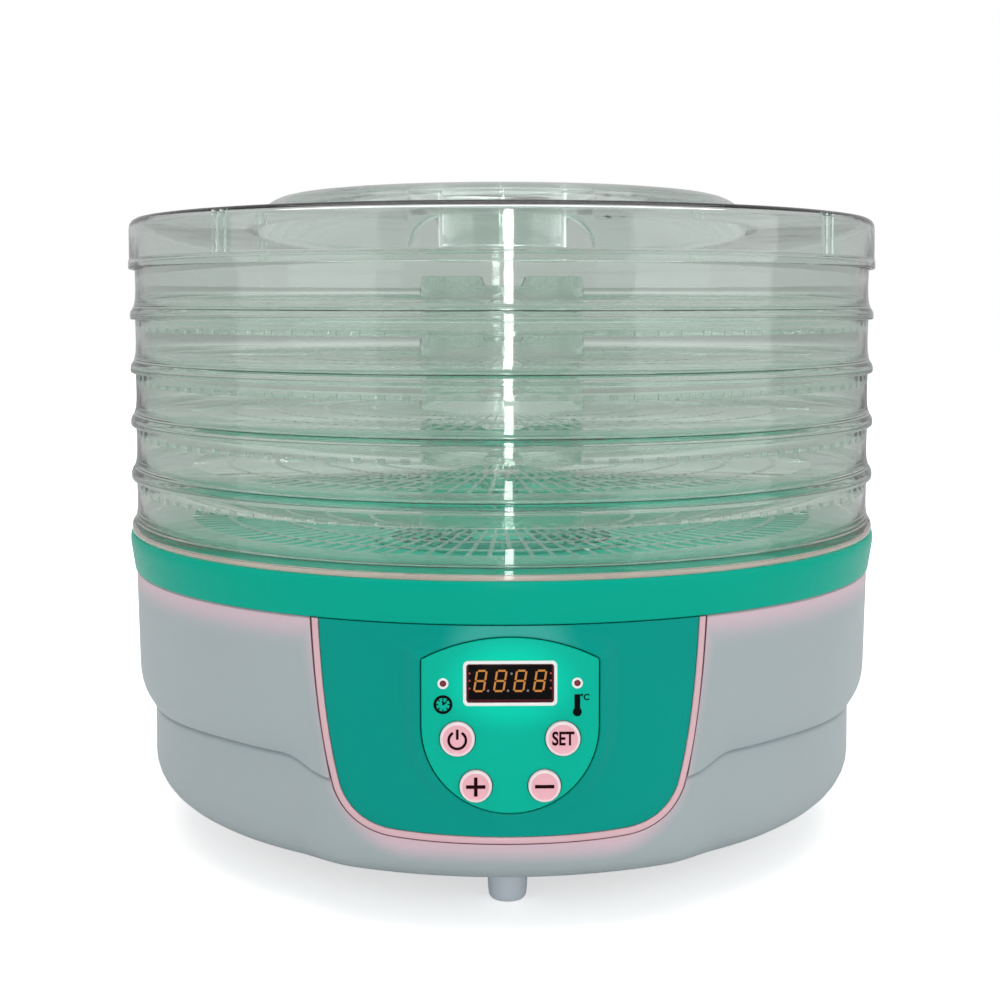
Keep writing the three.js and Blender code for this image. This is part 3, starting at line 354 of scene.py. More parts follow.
def dress(name, mesh, finish, sharp=38):
    """Puts a mesh in the scene under a name, smooth shaded, with sharp edges kept sharp."""
    mesh.name = name
    mesh.materials.clear()
    mesh.materials.append(finish)
    mesh.shade_smooth()
    mesh.set_sharp_from_angle(angle=math.radians(sharp))
    thing = bpy.data.objects.new(name, mesh)
    bpy.context.scene.collection.objects.link(thing)
    return thing


def merged(name, things, finish=None):
    """Several objects as one; each keeps its own finish unless one is given."""
    whole = bmesh.new()
    finishes = []
    for thing in things:
        slots = thing.data.materials
        for material in slots:
            if material not in finishes:
                finishes.append(material)
        remap = [finishes.index(m) for m in slots]
        start = len(whole.faces)
        whole.from_mesh(thing.data)
        whole.faces.ensure_lookup_table()
        for face in whole.faces[start:]:
            face.material_index = remap[face.material_index]
    mesh = bpy.data.meshes.new(name)
    whole.to_mesh(mesh)
    whole.free()
    for thing in things:
        bpy.data.objects.remove(thing)
    result = dress(name, mesh, finish or finishes[0])
    if not finish:
        mesh.materials.clear()
        for material in finishes:
            mesh.materials.append(material)
    return result


def cut(thing, *tools):
    """Cuts the tools out of the thing and throws the tools away."""
    for tool in tools:
        change = thing.modifiers.new("cut", "BOOLEAN")
        change.object = tool
        change.operation = "DIFFERENCE"
        change.solver = "EXACT"
    graph = bpy.context.evaluated_depsgraph_get()
    mesh = bpy.data.meshes.new_from_object(thing.evaluated_get(graph))
    name, finish = thing.name, thing.data.materials[0]
    for old in (thing, *tools):
        bpy.data.objects.remove(old)
    return dress(name, mesh, finish)


# %% Turned pieces
def softened(outline, steps=4):
    """A closed outline whose points may carry a third value, the size of their rounding."""
    soft = []
    count = len(outline)
    for i, point in enumerate(outline):
        here = Vector(point[:2])
        size = point[2] if len(point) > 2 else 0
        if not size:
            soft.append(tuple(here))
            continue
        before = Vector(outline[i - 1][:2]) - here
        after = Vector(outline[(i + 1) % count][:2]) - here
        start = here + before.normalized() * min(size, before.length * 0.49)
        end = here + after.normalized() * min(size, after.length * 0.49)
        for k in range(steps + 1):
            t = k / steps
            soft.append(tuple(start * (1 - t) ** 2 + here * 2 * t * (1 - t) + end * t * t))
    return soft


def turned(name, outline_at, finish, sides=192, sharp=38):
    """Turns a closed outline of (radius, height) about Z. The outline may depend on the angle."""
    outlines = []
    for k in range(sides):
        angle = 2 * math.pi * k / sides
        outline = outline_at(angle) if callable(outline_at) else outline_at
        outlines.append([(r * math.sin(angle), -r * math.cos(angle), z) for r, z in outline])
    count = len(outlines[0])
    points = [p for outline in outlines for p in outline]
    faces = []
    for k in range(sides):
        here, there = k * count, (k + 1) % sides * count
        for i in range(count):
            j = (i + 1) % count
            faces.append((here + i, there + i, there + j, here + j))
    return piece(name, points, faces, finish, sharp)


def stand_forward(thing, x, z):
    """Lays a turned piece along Y, its top to the front, and moves its axis to (x, z)."""
    lie = Matrix.Rotation(math.pi / 2, 4, "X")
    thing.data.transform(Matrix.Translation(Vector((x, 0, z)) * MM) @ lie)
    return thing


# %% Pieces with an outline
def grown(outline, distance):
    """A closed outline of (x, z) points moved outwards, with mitred corners."""
    moved = []
    count = len(outline)
    for i, (x, z) in enumerate(outline):
        px, pz = outline[i - 1]
        nx, nz = outline[(i + 1) % count]
        before = Vector((z - pz, px - x)).normalized()
        after = Vector((nz - z, x - nx)).normalized()
        mitre = before + after
        mitre *= 2 * distance / max(mitre.length_squared, 0.4)
        moved.append((x + mitre.x, z + mitre.y))
    return moved


def rounded_plate(name, outline, front, back, edge, finish, inner=None, onto=None, strip=2.5):
    """A plate or, with an inner outline, a frame. Its front edges are rounded.

    The plate faces -Y. A radius in onto wraps it round the Z axis: front and back are then how far
    it stands in front of that radius, and how far it goes in behind.
    """
    arc = [i * math.pi / 8 for i in range(5)]
    layers = [(outline, 0, back)]
    layers += [(outline, -edge * (1 - math.cos(a)), front + edge * (1 - math.sin(a))) for a in arc]
    if inner:
        layers += [(inner, edge * (1 - math.cos(a)), front + edge * (1 - math.sin(a)))
                   for a in reversed(arc)]
        layers.append((inner, 0, back))
    build = bmesh.new()
    rings = []
    for base, offset, depth in layers:
        ring = grown(base, offset) if offset else base
        rings.append([build.verts.new((x, depth, z)) for x, z in ring])
    pairs = list(zip(rings, rings[1:]))
    if inner:
        pairs.append((rings[-1], rings[0]))
    else:
        build.faces.new(rings[0])
        build.faces.new(rings[-1])
    count = len(outline)
    for one, two in pairs:
        for i in range(count):
            j = (i + 1) % count
            build.faces.new((one[i], one[j], two[j], two[i]))
    if onto:
        slice_upright(build, strip)
        for vert in build.verts:
            radius = onto - vert.co.y
            vert.co.y = -math.sqrt(max(radius ** 2 - vert.co.x ** 2, 0))
    bmesh.ops.recalc_face_normals(build, faces=build.faces)
    for vert in build.verts:
        vert.co *= MM
    mesh = bpy.data.meshes.new(name)
    build.to_mesh(mesh)
    build.free()
    return dress(name, mesh, finish)


def slice_upright(build, strip):
    """Cuts a flat solid along upright lines, so that it can bend smoothly round the Z axis."""
    reach = max(abs(v.co.x) for v in build.verts)
    x = -reach + strip
    while x < reach:
        everything = build.verts[:] + build.edges[:] + build.faces[:]
        bmesh.ops.bisect_plane(
            build, geom=everything, dist=0.01, plane_co=(x, 0, 0), plane_no=(1, 0, 0))
        x += strip


print("helpers ready")

# %% [markdown]
# ## Geometry Nodes helpers
# What repeats is left to Geometry Nodes: the teeth under a tray, the slots in its floor, the rings
# of the air grille, the clip ribs and the holes that are cut at equal steps. A tree gets named
# inputs, so its sizes can be changed without touching its nodes, and it ends in Realize Instances
# and Set Material, because the result is kept as a plain mesh.


# %% Build and run a tree
def new_tree(name, inputs):
    """A tree with a geometry input and output and the named inputs."""
    tree = bpy.data.node_groups.new(name, "GeometryNodeTree")
    face = tree.interface
    face.new_socket("Geometry", in_out="INPUT", socket_type="NodeSocketGeometry")
    for label, kind in inputs.items():
        face.new_socket(label, in_out="INPUT", socket_type=f"NodeSocket{kind}")
    face.new_socket("Geometry", in_out="OUTPUT", socket_type="NodeSocketGeometry")
    return tree, tree.nodes.new("NodeGroupInput").outputs, tree.nodes.new("NodeGroupOutput")


def joined(tree, *parts):
    """Several geometries as one."""
    both = tree.nodes.new("GeometryNodeJoinGeometry")
    for part in parts:
        tree.links.new(part, both.inputs[0])
    return both.outputs[0]


def ended(tree, given, end, geometry):
    """Ends a tree: its result is made real and gets its finish."""
    solid = node(tree, "GeometryNodeRealizeInstances", {"Geometry": geometry})
    painted = node(tree, "GeometryNodeSetMaterial", {
        "Geometry": solid[0], "Material": given["Finish"]})
    tree.links.new(painted[0], end.inputs["Geometry"])
    return tree


def grow(name, tree, finish, values, start=None):
    """Runs a tree on a start object, or on nothing, and keeps the result as a plain mesh."""
    thing = start or bpy.data.objects.new(name, bpy.data.meshes.new(name))
    if not start:
        bpy.context.scene.collection.objects.link(thing)
    change = thing.modifiers.new("grow", "NODES")
    change.node_group = tree
    identifiers = {s.name: s.identifier for s in tree.interface.items_tree if s.in_out == "INPUT"}
    for label, value in {**values, "Finish": finish}.items():
        change[identifiers[label]] = value
    graph = bpy.context.evaluated_depsgraph_get()
    mesh = bpy.data.meshes.new_from_object(thing.evaluated_get(graph))
    thing.modifiers.remove(change)
    bpy.data.objects.remove(thing)
    return dress(name, mesh, finish)


# %% The tree that sets copies round the axis
def copies_tree():
    """Copies of the start object, turned about Z at equal steps."""
    tree, given, end = new_tree(
        "copies_round_the_axis", {"Count": "Int", "First Angle": "Float", "Finish": "Material"})
    points = node(tree, "GeometryNodePoints", {"Count": given["Count"]})
    index = node(tree, "GeometryNodeInputIndex", {})["Index"]
    step = math_node(tree, "DIVIDE", 2 * math.pi, given["Count"])
    turn = math_node(tree, "ADD", math_node(tree, "MULTIPLY", index, step), given["First Angle"])
    angles = node(tree, "ShaderNodeCombineXYZ", {"Z": turn})["Vector"]
    copies = node(tree, "GeometryNodeInstanceOnPoints", {
        "Points": points[0], "Instance": given["Geometry"], "Rotation": angles})
    return ended(tree, given, end, copies[0])


COPIES = copies_tree()


def set_round(name, thing, count, first_degrees=0.0):
    """Copies of a thing round the Z axis, as one object. The thing itself is used up."""
    finish = thing.data.materials[0]
    values = {"Count": count, "First Angle": math.radians(first_degrees)}
    return grow(name, COPIES, finish, values, start=thing)


print("tree inputs:", [s.name for s in COPIES.interface.items_tree if s.in_out == "INPUT"])

# %% [markdown]
# ## The base shell
# The shell is turned, but its hand recess isn't the same all round: it dies away beside the front
# panel, where the wall swells out to meet the trim. So the outline is worked out afresh at each
# angle. The opening for the panel, the air slots and the screw wells are then cut out of the
# closed solid, which keeps their edges true.

# %% Shell outline
SHELL_WALL = 2.5
RECESS_DEPTH = 7.3
RECESS_TOP = 38  # top of the lower wall, above the shell's underside
SLOPE_HEIGHT = 9.5
LOWER_EDGE = (18, 17)  # width and height of the rounded lower edge
LIP_RISE, LIP_DIP = 4.0, 4.4  # the recess line rises towards the front and dips at the trim
LIP_FROM, LIP_TO = math.radians(40), math.radians(78)
SWELL_FROM = math.radians(33)
SWELL_TO = math.radians(23)
upper_radius = shell.high.x
lower_radius = upper_radius - RECESS_DEPTH


def smooth(value, low, high):
    """0 below low and 1 above high, with a soft start and end."""
    t = min(1, max(0, (value - low) / (high - low)))
    return t * t * (3 - 2 * t)


def swell_at(angle):
    """1 beside and below the front panel, 0 in the open recess."""
    off_front = abs((angle + math.pi) % (2 * math.pi) - math.pi)
    return 1 - smooth(off_front, SWELL_TO, SWELL_FROM)


def shell_outline(angle):
    """The shell's wall at an angle from the front, as a closed outline."""
    swell = swell_at(angle)
    low = shell.low.z
    radius = lower_radius + 0.93 * RECESS_DEPTH * swell
    off_front = abs((angle + math.pi) % (2 * math.pi) - math.pi)
    lip = low + RECESS_TOP + LIP_RISE * (1 - smooth(off_front, LIP_FROM, LIP_TO)) - LIP_DIP * swell
    width, height = LOWER_EDGE
    arc = [math.radians(a) for a in range(270, 361, 10)]
    corner = [(lower_radius - width + (width + radius - lower_radius) * math.cos(a),
               low + height + height * math.sin(a)) for a in arc]
    groove = 1.5
    outer = corner + [
        (radius, lip - 1.4, 0.8), (radius - groove, lip, 0.2), (radius + 0.7, lip + 0.3, 0.3),
        (upper_radius - 1.2, lip + SLOPE_HEIGHT + 2.5 * swell, 7),
        (upper_radius, shell.high.z - 0.6), (upper_radius - 0.6, shell.high.z)]
    inside = lower_radius - SHELL_WALL
    inner = [
        (upper_radius - SHELL_WALL, shell.high.z),
        (upper_radius - SHELL_WALL, lip + SLOPE_HEIGHT + 6),
        (inside, lip + 1, 3), (inside, low + height, 8), (inside - width + 2, low + SHELL_WALL, 8),
        (0, low + SHELL_WALL), (0, low)]
    return softened(outer + inner)


base_shell = turned("base_shell", shell_outline, shell_finish, sides=240, sharp=30)
print("shell faces", len(base_shell.data.polygons))

# %% [markdown]
# ## Outlines on the front
# The green panel, its trim and the control overlay share two outlines. Each is a few curves, and
# everything round it is that outline moved in or out: the trim, the opening in the shell and the
# raised border round the overlay.

# %% Panel and overlay outlines
panel = Span("front_panel")
trim = Span("panel_trim")
TRIM_WIDTH = panel.low.z - trim.low.z - GAP
PANEL_RADIUS = upper_radius + 0.7
ABOVE = shell.high.z + 8  # outlines run past the rim and are cut level with it


def bends(start, *curves, steps=12):
    """A line of quadratic curves, each given as its handle and its end."""
    line = [start]
    here = Vector(start)
    for handle, end in curves:
        handle, end = Vector(handle), Vector(end)
        for k in range(1, steps + 1):
            t = k / steps
            line.append(tuple(here * (1 - t) ** 2 + handle * 2 * t * (1 - t) + end * t * t))
        here = end
    return line


def mirrored(right):
    """A closed outline from its right half, which starts on the middle line."""
    return right + [(-x, z) for x, z in reversed(right[1:])]


def panel_outline():
    """The green panel from the front, with its rounded lower corners."""
    foot = panel.low.z
    middle = (foot + shell.high.z) / 2
    half = panel.high.x
    right = bends(
        (0, foot), ((28, foot), (42, foot + 1.4)), ((54.5, foot + 3.2), (59, foot + 14)),
        ((half - 1.2, middle), (half + 0.5, ABOVE)))
    return mirrored(right)


def overlay_outline():
    """The control overlay: a low arc above, straight sides and a half round below."""
    half = plate.high.x
    centre = plate.low.z + half
    shoulder = 7.4
    top = plate.high.z
    radius = (half ** 2 + shoulder ** 2) / (2 * shoulder)
    reach = math.asin(half / radius)
    foot = [math.radians(a) for a in range(-90, 1, 5)]
    right = [(half * math.cos(a), centre + half * math.sin(a)) for a in foot]
    right += [(radius * math.sin(reach * (1 - k / 12)),
               top - radius + radius * math.cos(reach * (1 - k / 12))) for k in range(12)]
    return right + [(0, top)] + [(-x, z) for x, z in reversed(right[1:])]


PANEL_EDGE = panel_outline()
OVERLAY_EDGE = overlay_outline()
print("panel points", len(PANEL_EDGE), "overlay points", len(OVERLAY_EDGE))


# %% Cutting tools
def block(name, low, high):
    """A plain box, used to cut."""
    corners = [(x, y, z) for x in (low[0], high[0]) for y in (low[1], high[1])
               for z in (low[2], high[2])]
    sides = [(0, 1, 3, 2), (4, 6, 7, 5), (0, 4, 5, 1), (2, 3, 7, 6), (0, 2, 6, 4), (1, 5, 7, 3)]
    return piece(name, corners, sides, black_finish)


def prism(name, outline, front, back):
    """A straight solid along Y with an outline of (x, z) points."""
    return rounded_plate(name, outline, front, back, 0.001, black_finish)


def rod(name, radius, bottom, top, finish=None, sides=48):
    """An upright rod on the axis."""
    return turned(name, [(0, bottom), (radius, bottom), (radius, top), (0, top)],
                  finish or black_finish, sides)


def moved(thing, x=0, y=0, z=0):
    """Moves a piece's mesh, in millimetres."""
    thing.data.transform(Matrix.Translation(Vector((x, y, z)) * MM))
    return thing


# %% Cut the shell
screw = Span("case_screw_1")
screw_circle = math.hypot(screw.middle.x, screw.middle.y)
WELL_BORE = 4.5
front_tool = prism("front_tool", grown(PANEL_EDGE, TRIM_WIDTH + 2 * GAP), -180, -100)
slot_tool = set_round(
    "slot_tool", block("slot", (14, -2.5, shell.low.z - 2), (40, 2.5, shell.low.z + 5)), 12)
well_tool = set_round(
    "well_tool", moved(rod("well", WELL_BORE, shell.low.z - 2, screw.low.z + 3), x=screw_circle),
    4, 45)
base_shell = cut(base_shell, front_tool, slot_tool, well_tool)
print("shell faces after cutting", len(base_shell.data.polygons))

# %% [markdown]
# ## The ring and the deck
# One green moulding: the glossy ring that stands out a little over the shell, the lip that the
# lowest tray sits on, and the deck under it. A thin pale seam shows between the ring and the tray.
# It could be modelled as hundreds of facets; turning one outline gives the same shape with clean
# highlights.

# %% Ring, lip and deck
grille = Span("outlet_grille")
outlet_radius = grille.high.x - 4
ring_foot, ring_top = shell.high.z + GAP, first_tray.low.z + 4.7
ring_radius = cover.high.x
lip_top = cover.high.z
deck_top = ring_top - 10.5
cover_shape = turned("cover_ring", softened([
    (outlet_radius, deck_top - 2), (149.4, deck_top - 2), (149.4, cover.low.z),
    (151.8, cover.low.z), (151.8, ring_foot), (ring_radius - 2.1, ring_foot, 0.5),
    (ring_radius - 0.3, ring_top - 3, 2), (ring_radius - 0.6, ring_top, 0.9),
    (157, ring_top, 0.2), (157, ring_top - 0.15), (155, ring_top - 0.15), (155, deck_top + 2, 2),
    (152, deck_top, 2), (outlet_radius, deck_top)]), green_ring_finish, sides=240)
seam = turned("ring_seam", softened([
    (155, ring_top - 0.1), (157, ring_top - 0.1), (157, lip_top, 0.4), (155, lip_top, 0.4)]),
    seam_finish, sides=240)


# %% The outlet grille: rings and spokes
def grille_tree():
    """Flat rings on spokes, from curves swept with a small rectangle."""
    tree, given, end = new_tree("ring_grille", {
        "Rings": "Int", "First Radius": "Float", "Step": "Float", "Width": "Float",
        "Depth": "Float", "Spokes": "Int", "Finish": "Material"})
    profile = node(tree, "GeometryNodeCurvePrimitiveQuadrilateral", {
        "Width": given["Width"], "Height": given["Depth"]})[0]
    points = node(tree, "GeometryNodePoints", {"Count": given["Rings"]})
    index = node(tree, "GeometryNodeInputIndex", {})["Index"]
    radius = math_node(
        tree, "ADD", math_node(tree, "MULTIPLY", index, given["Step"]), given["First Radius"])
    circle = node(tree, "GeometryNodeCurvePrimitiveCircle", {"Resolution": 72, "Radius": 1.0})
    scale = node(tree, "ShaderNodeCombineXYZ", {"X": radius, "Y": radius, "Z": 1.0})["Vector"]
    rings = node(tree, "GeometryNodeInstanceOnPoints", {
        "Points": points[0], "Instance": circle[0], "Scale": scale})
    loops = node(tree, "GeometryNodeRealizeInstances", {"Geometry": rings[0]})
    swept = node(tree, "GeometryNodeCurveToMesh", {
        "Curve": loops[0], "Profile Curve": profile, "Fill Caps": True})
    reach = math_node(tree, "ADD", given["First Radius"], math_node(
        tree, "MULTIPLY", given["Step"], math_node(tree, "SUBTRACT", given["Rings"], 1.0)))
    far = node(tree, "ShaderNodeCombineXYZ", {"X": reach})["Vector"]
    near = node(tree, "ShaderNodeCombineXYZ", {"X": given["First Radius"]})["Vector"]
    line = node(tree, "GeometryNodeCurvePrimitiveLine", {"Start": near, "End": far})
    spoke = node(tree, "GeometryNodeCurveToMesh", {
        "Curve": line[0], "Profile Curve": profile, "Fill Caps": True})
    places = node(tree, "GeometryNodePoints", {"Count": given["Spokes"]})
    step = math_node(tree, "DIVIDE", 2 * math.pi, given["Spokes"])
    turn = node(tree, "ShaderNodeCombineXYZ", {
        "Z": math_node(tree, "MULTIPLY", index, step)})["Vector"]
    spokes = node(tree, "GeometryNodeInstanceOnPoints", {
        "Points": places[0], "Instance": spoke[0], "Rotation": turn})
    return ended(tree, given, end, joined(tree, swept[0], spokes[0]))


bars = grow("grille_bars", grille_tree(), green_ring_finish, {
    "Rings": 7, "First Radius": 14 * MM, "Step": 5.9 * MM, "Width": 1.6 * MM, "Depth": 1.5 * MM,
    "Spokes": 8})
moved(bars, z=grille.high.z - 0.76)
grille_rim = turned("grille_rim", softened([
    (outlet_radius - 3.2, grille.high.z - 1.5), (outlet_radius - 3.2, grille.low.z),
    (outlet_radius - 0.4, grille.low.z), (outlet_radius - 0.4, grille.high.z - 1.5),
    (outlet_radius + 4, grille.high.z - 1.5), (outlet_radius + 4, grille.high.z, 0.6),
    (outlet_radius - 3.2, grille.high.z, 0.4)]), green_ring_finish)
grille_hub = turned("grille_hub", softened([
    (0, grille.high.z - 1.5), (14.5, grille.high.z - 1.5), (14.5, grille.high.z - 0.02, 0.6),
    (0, grille.high.z - 0.02)]), green_ring_finish, 72)
fine_grille = merged("fine_grille", [bars, grille_rim, grille_hub])
print("grille faces", len(fine_grille.data.polygons))

# %% [markdown]
# ## The green control panel
# The fascia is a sheet bent to the shell's radius. In its middle a soft raised border carries the
# flat overlay; the fascia is one piece, whose rings of points run from the joint round the overlay
# over the border out to the sheet's edge. The pale trim is a frame bent to the same radius.

# %% Fascia, border and trim
PANEL_THICK = 2.5


def cut_level(thing, height):
    """Takes off everything above a height."""
    return cut(thing, block("level", (-200, -220, height), (200, 220, height + 60)))


def by_angle(outline, centre, count):
    """The outline as seen from a centre, with its points at equal angles."""
    ring = []
    for k in range(count):
        angle = 2 * math.pi * k / count
        way = Vector((-math.sin(angle), math.cos(angle)))
        best = 0
        for i, point in enumerate(outline):
            a = Vector(outline[i - 1]) - Vector(centre)
            b = Vector(point) - Vector(centre)
            side = b - a
            cross = way.x * side.y - way.y * side.x
            if abs(cross) < 1e-9:
                continue
            t = (a.x * side.y - a.y * side.x) / cross
            s = (a.x * way.y - a.y * way.x) / cross
            if t > 0 and -1e-6 <= s <= 1 + 1e-6:
                best = max(best, t)
        ring.append((centre[0] + way.x * best, centre[1] + way.y * best))
    return ring


middle = (0, plate.low.z + plate.high.x)
COUNT = 240
PAD_RISE = 7.5  # width of the soft rise from the sheet to the overlay
SEAM = 0.4  # dark joint round the overlay


def sheet_y(x):
    """Where the bent sheet's face is."""
    return -math.sqrt(PANEL_RADIUS ** 2 - x ** 2)


def fascia_rings():
    """Rings of points from the joint round the overlay out to the sheet's edge."""
    front = plate.low.y + 0.3
    rings = [[(x, front + 4.5, z) for x, z in by_angle(grown(OVERLAY_EDGE, SEAM), middle, COUNT)]]
    rings.append([(x, front + 0.35, z) for x, _, z in rings[0]])
    for d in (0.12, 0.45, 1.0, 2.0, 3.0, 4.0, 5.0, 6.2, PAD_RISE):
        ring = by_angle(grown(OVERLAY_EDGE, SEAM + d), middle, COUNT)
        share = smooth(d, 0.2, PAD_RISE)
        lift = 0.2 if d < 0.3 else 0
        rings.append([(x, (front + lift) * (1 - share) + sheet_y(x) * share, z) for x, z in ring])
    inner = [(x, z) for x, _, z in rings[-1]]
    outer = by_angle(PANEL_EDGE, middle, COUNT)
    for t in (0.25, 0.5, 0.75, 0.97):
        ring = [(a[0] + (b[0] - a[0]) * t, a[1] + (b[1] - a[1]) * t) for a, b in zip(inner, outer)]
        rings.append([(x, sheet_y(x), z) for x, z in ring])
    rings.append([(x, sheet_y(x) + 0.35, z) for x, z in outer])
    back = [[(x, max(y + PANEL_THICK, sheet_y(x) + PANEL_THICK), z) for x, y, z in ring]
            for ring in reversed(rings[1:])]
    return rings + back


def from_rings(name, rings, finish):
    """A closed solid through rings of points; the last ring joins the first."""
    count = len(rings[0])
    faces = []
    for r in range(len(rings)):
        here, there = r * count, (r + 1) % len(rings) * count
        for i in range(count):
            j = (i + 1) % count
            faces.append((here + i, here + j, there + j, there + i))
    return piece(name, [p for ring in rings for p in ring], faces, finish, 42)


fascia = cut_level(from_rings("fascia", fascia_rings(), green_panel_finish), shell.high.z)
frame_outer = by_angle(grown(PANEL_EDGE, TRIM_WIDTH - 0.1), middle, COUNT)
frame_inner = by_angle(grown(PANEL_EDGE, 0.15), middle, COUNT)
pale_trim = cut_level(rounded_plate(
    "pale_trim", frame_outer, -0.4, 10, 0.9, pink_finish, inner=frame_inner, onto=PANEL_RADIUS),
    shell.high.z)
# the dark strip in the gap round the trim: painted shade
groove = cut_level(rounded_plate(
    "trim_groove", by_angle(grown(PANEL_EDGE, TRIM_WIDTH + 0.55), middle, COUNT), 1.5, 9, 0.1,
    groove_shade_finish, inner=by_angle(grown(PANEL_EDGE, TRIM_WIDTH + 0.05), middle, COUNT),
    onto=PANEL_RADIUS), shell.high.z)
print("fascia faces", len(fascia.data.polygons))

# %% [markdown]
# ## The control overlay
# The overlay is a flat tinted plate with holes for the four keys, the two lamps and the display.
# The signs are thin raised print. Text is only used for the key's word and the degree sign, and it
# is made into a mesh before it is placed.


# %% Flat print
def print_flat(name, shapes, finish, front, thickness=0.06):
    """Closed outlines of (x, z) points as thin raised print, all in one object."""
    sheets = []
    for i, shape in enumerate(shapes):
        build = bmesh.new()
        near = [build.verts.new((x * MM, front * MM, z * MM)) for x, z in shape]
        far = [build.verts.new((x * MM, (front + thickness) * MM, z * MM)) for x, z in shape]
        build.faces.new(near)
        build.faces.new(far)
        for k in range(len(shape)):
            j = (k + 1) % len(shape)
            build.faces.new((near[k], near[j], far[j], far[k]))
        bmesh.ops.recalc_face_normals(build, faces=build.faces)
        bmesh.ops.triangulate(build, faces=[f for f in build.faces if len(f.verts) > 4])
        mesh = bpy.data.meshes.new(name)
        build.to_mesh(mesh)
        build.free()
        sheets.append(dress(f"{name}_{i}", mesh, finish))
    return merged(name, sheets)


def bar(x, z, width, height, turn=0.0, slant=0.0):
    """The outline of a bar about its middle, turned in degrees and slanted to the right."""
    a = math.radians(turn)
    shape = []
    for px, pz in ((-1, -1), (1, -1), (1, 1), (-1, 1)):
        qx, qz = px * width / 2, pz * height / 2
        qx, qz = qx * math.cos(a) + qz * math.sin(a), -qx * math.sin(a) + qz * math.cos(a)
        shape.append((x + qx + slant * qz, z + qz))
    return shape


def disc(x, z, radius, steps=28):
    """The outline of a disc."""
    return [(x + radius * math.cos(2 * math.pi * k / steps),
             z + radius * math.sin(2 * math.pi * k / steps)) for k in range(steps)]


def bow(x, z, radius, width, start, end, steps=40):
    """The outline of part of a ring, from one angle to another, in degrees from upright."""
    turns = [math.radians(start + (end - start) * k / steps) for k in range(steps + 1)]
    outer = [(x + (radius + width / 2) * math.sin(a), z + (radius + width / 2) * math.cos(a))
             for a in turns]
    inner = [(x + (radius - width / 2) * math.sin(a), z + (radius - width / 2) * math.cos(a))
             for a in turns]
    return outer + inner[::-1]


def lettering(name, text, size, x, z, finish, front, bold=0.0, narrow=1.0):
    """Text as a thin raised mesh, centred on a point."""
    curve = bpy.data.curves.new(name, "FONT")
    curve.body = text
    curve.size = size
    curve.align_x = "CENTER"
    curve.align_y = "CENTER"
    curve.extrude = 0.03
    curve.offset = bold
    thing = bpy.data.objects.new(name, curve)
    bpy.context.scene.collection.objects.link(thing)
    bpy.context.view_layer.update()
    mesh = bpy.data.meshes.new_from_object(thing.evaluated_get(
        bpy.context.evaluated_depsgraph_get()))
    bpy.data.objects.remove(thing)
    build = bmesh.new()
    build.from_mesh(mesh)
    bmesh.ops.remove_doubles(build, verts=build.verts, dist=0.0005)
    build.transform(Matrix.Scale(MM, 4) @ Matrix.Translation((x, front + 0.03, z))
                    @ Matrix.Rotation(math.pi / 2, 4, "X") @ Matrix.Diagonal((narrow, 1, 1, 1)))
    bmesh.ops.recalc_face_normals(build, faces=build.faces)
    build.to_mesh(mesh)
    build.free()
    return dress(name, mesh, finish)


# %% Overlay with its holes
def rounded_box(low, high, radius, steps=6):
    """A rectangle's outline with rounded corners."""
    shape = []
    for cx, cz, start in ((high[0] - radius, low[1] + radius, -90), (high[0] - radius,
                          high[1] - radius, 0), (low[0] + radius, high[1] - radius, 90),
                          (low[0] + radius, low[1] + radius, 180)):
        for k in range(steps + 1):
            a = math.radians(start + 90 * k / steps)
            shape.append((cx + radius * math.cos(a), cz + radius * math.sin(a)))
    return shape


KEYS = [f"{key}_button" for key in ("power", "set", "plus", "minus")]
bezel = Span("display_bezel")
LAMPS = ("timer_led", "heat_led")
plate_front = plate.low.y
overlay = rounded_plate("overlay", OVERLAY_EDGE, plate_front, plate.high.y, 0.35, plate_finish)


def forward_rod(name, radius, x, z, front, back, finish=None, sides=56):
    """A rod along Y."""
    return stand_forward(rod(name, radius, -back, -front, finish, sides), x, z)


holes = []
key_radius = {}
for key in KEYS:
    span = Span(key)
    key_radius[key] = span.size.x / 2 - 0.9  # the flange behind the plate is wider
    holes.append(forward_rod(f"{key}_hole", key_radius[key] + 0.28, span.middle.x,
                             span.middle.z, -175, -140))
for lamp in LAMPS:
    span = Span(f"{lamp}_bezel")
    holes.append(forward_rod(f"{lamp}_hole", span.high.x - span.middle.x + 0.02,
                             span.middle.x, span.middle.z, -175, -140))
BEZEL_CORNER = 1.8
hole_edge = rounded_box((bezel.low.x - 0.02, bezel.low.z - 0.02),
                        (bezel.high.x + 0.02, bezel.high.z + 0.02), BEZEL_CORNER)
holes.append(print_flat("display_hole", [hole_edge], plate_finish, -175, 35))
overlay = cut(overlay, *holes)
print("overlay faces", len(overlay.data.polygons))


# %% [markdown]
# ## Display
# A white bezel with rounded corners stands round a dark window. The digits glow amber and lean a
# little. They lie just in front of the dark window as thin lit shapes.

# %% Display finishes
def glowing(name, colour, strength):
    """A lit sign."""
    return new_finish(name, lambda tree: {
        "Base Color": colour, "Emission Color": colour, "Emission Strength": strength,
        "Roughness": 0.4})


amber_finish = glowing("amber_light", paint(172, 108, 34), 0.5)
dot_finish = glowing("dim_red_light", paint(150, 40, 40), 0.2)
# unlit points given a faint glow: painted light
point_glow_finish = glowing("unlit_point_painted_glow", paint(120, 116, 122), 0.1)
lamp_finish = glowing("lamp_lens", paint(120, 24, 34), 0.12)
window_finish = moulded(
    "display_window", paint(12, 8, 11), 0.12, cloud=0.02, height=0.003, shine=0.06)
red_line_finish = moulded("red_line", paint(74, 4, 14), 0.3, shine=0.2)


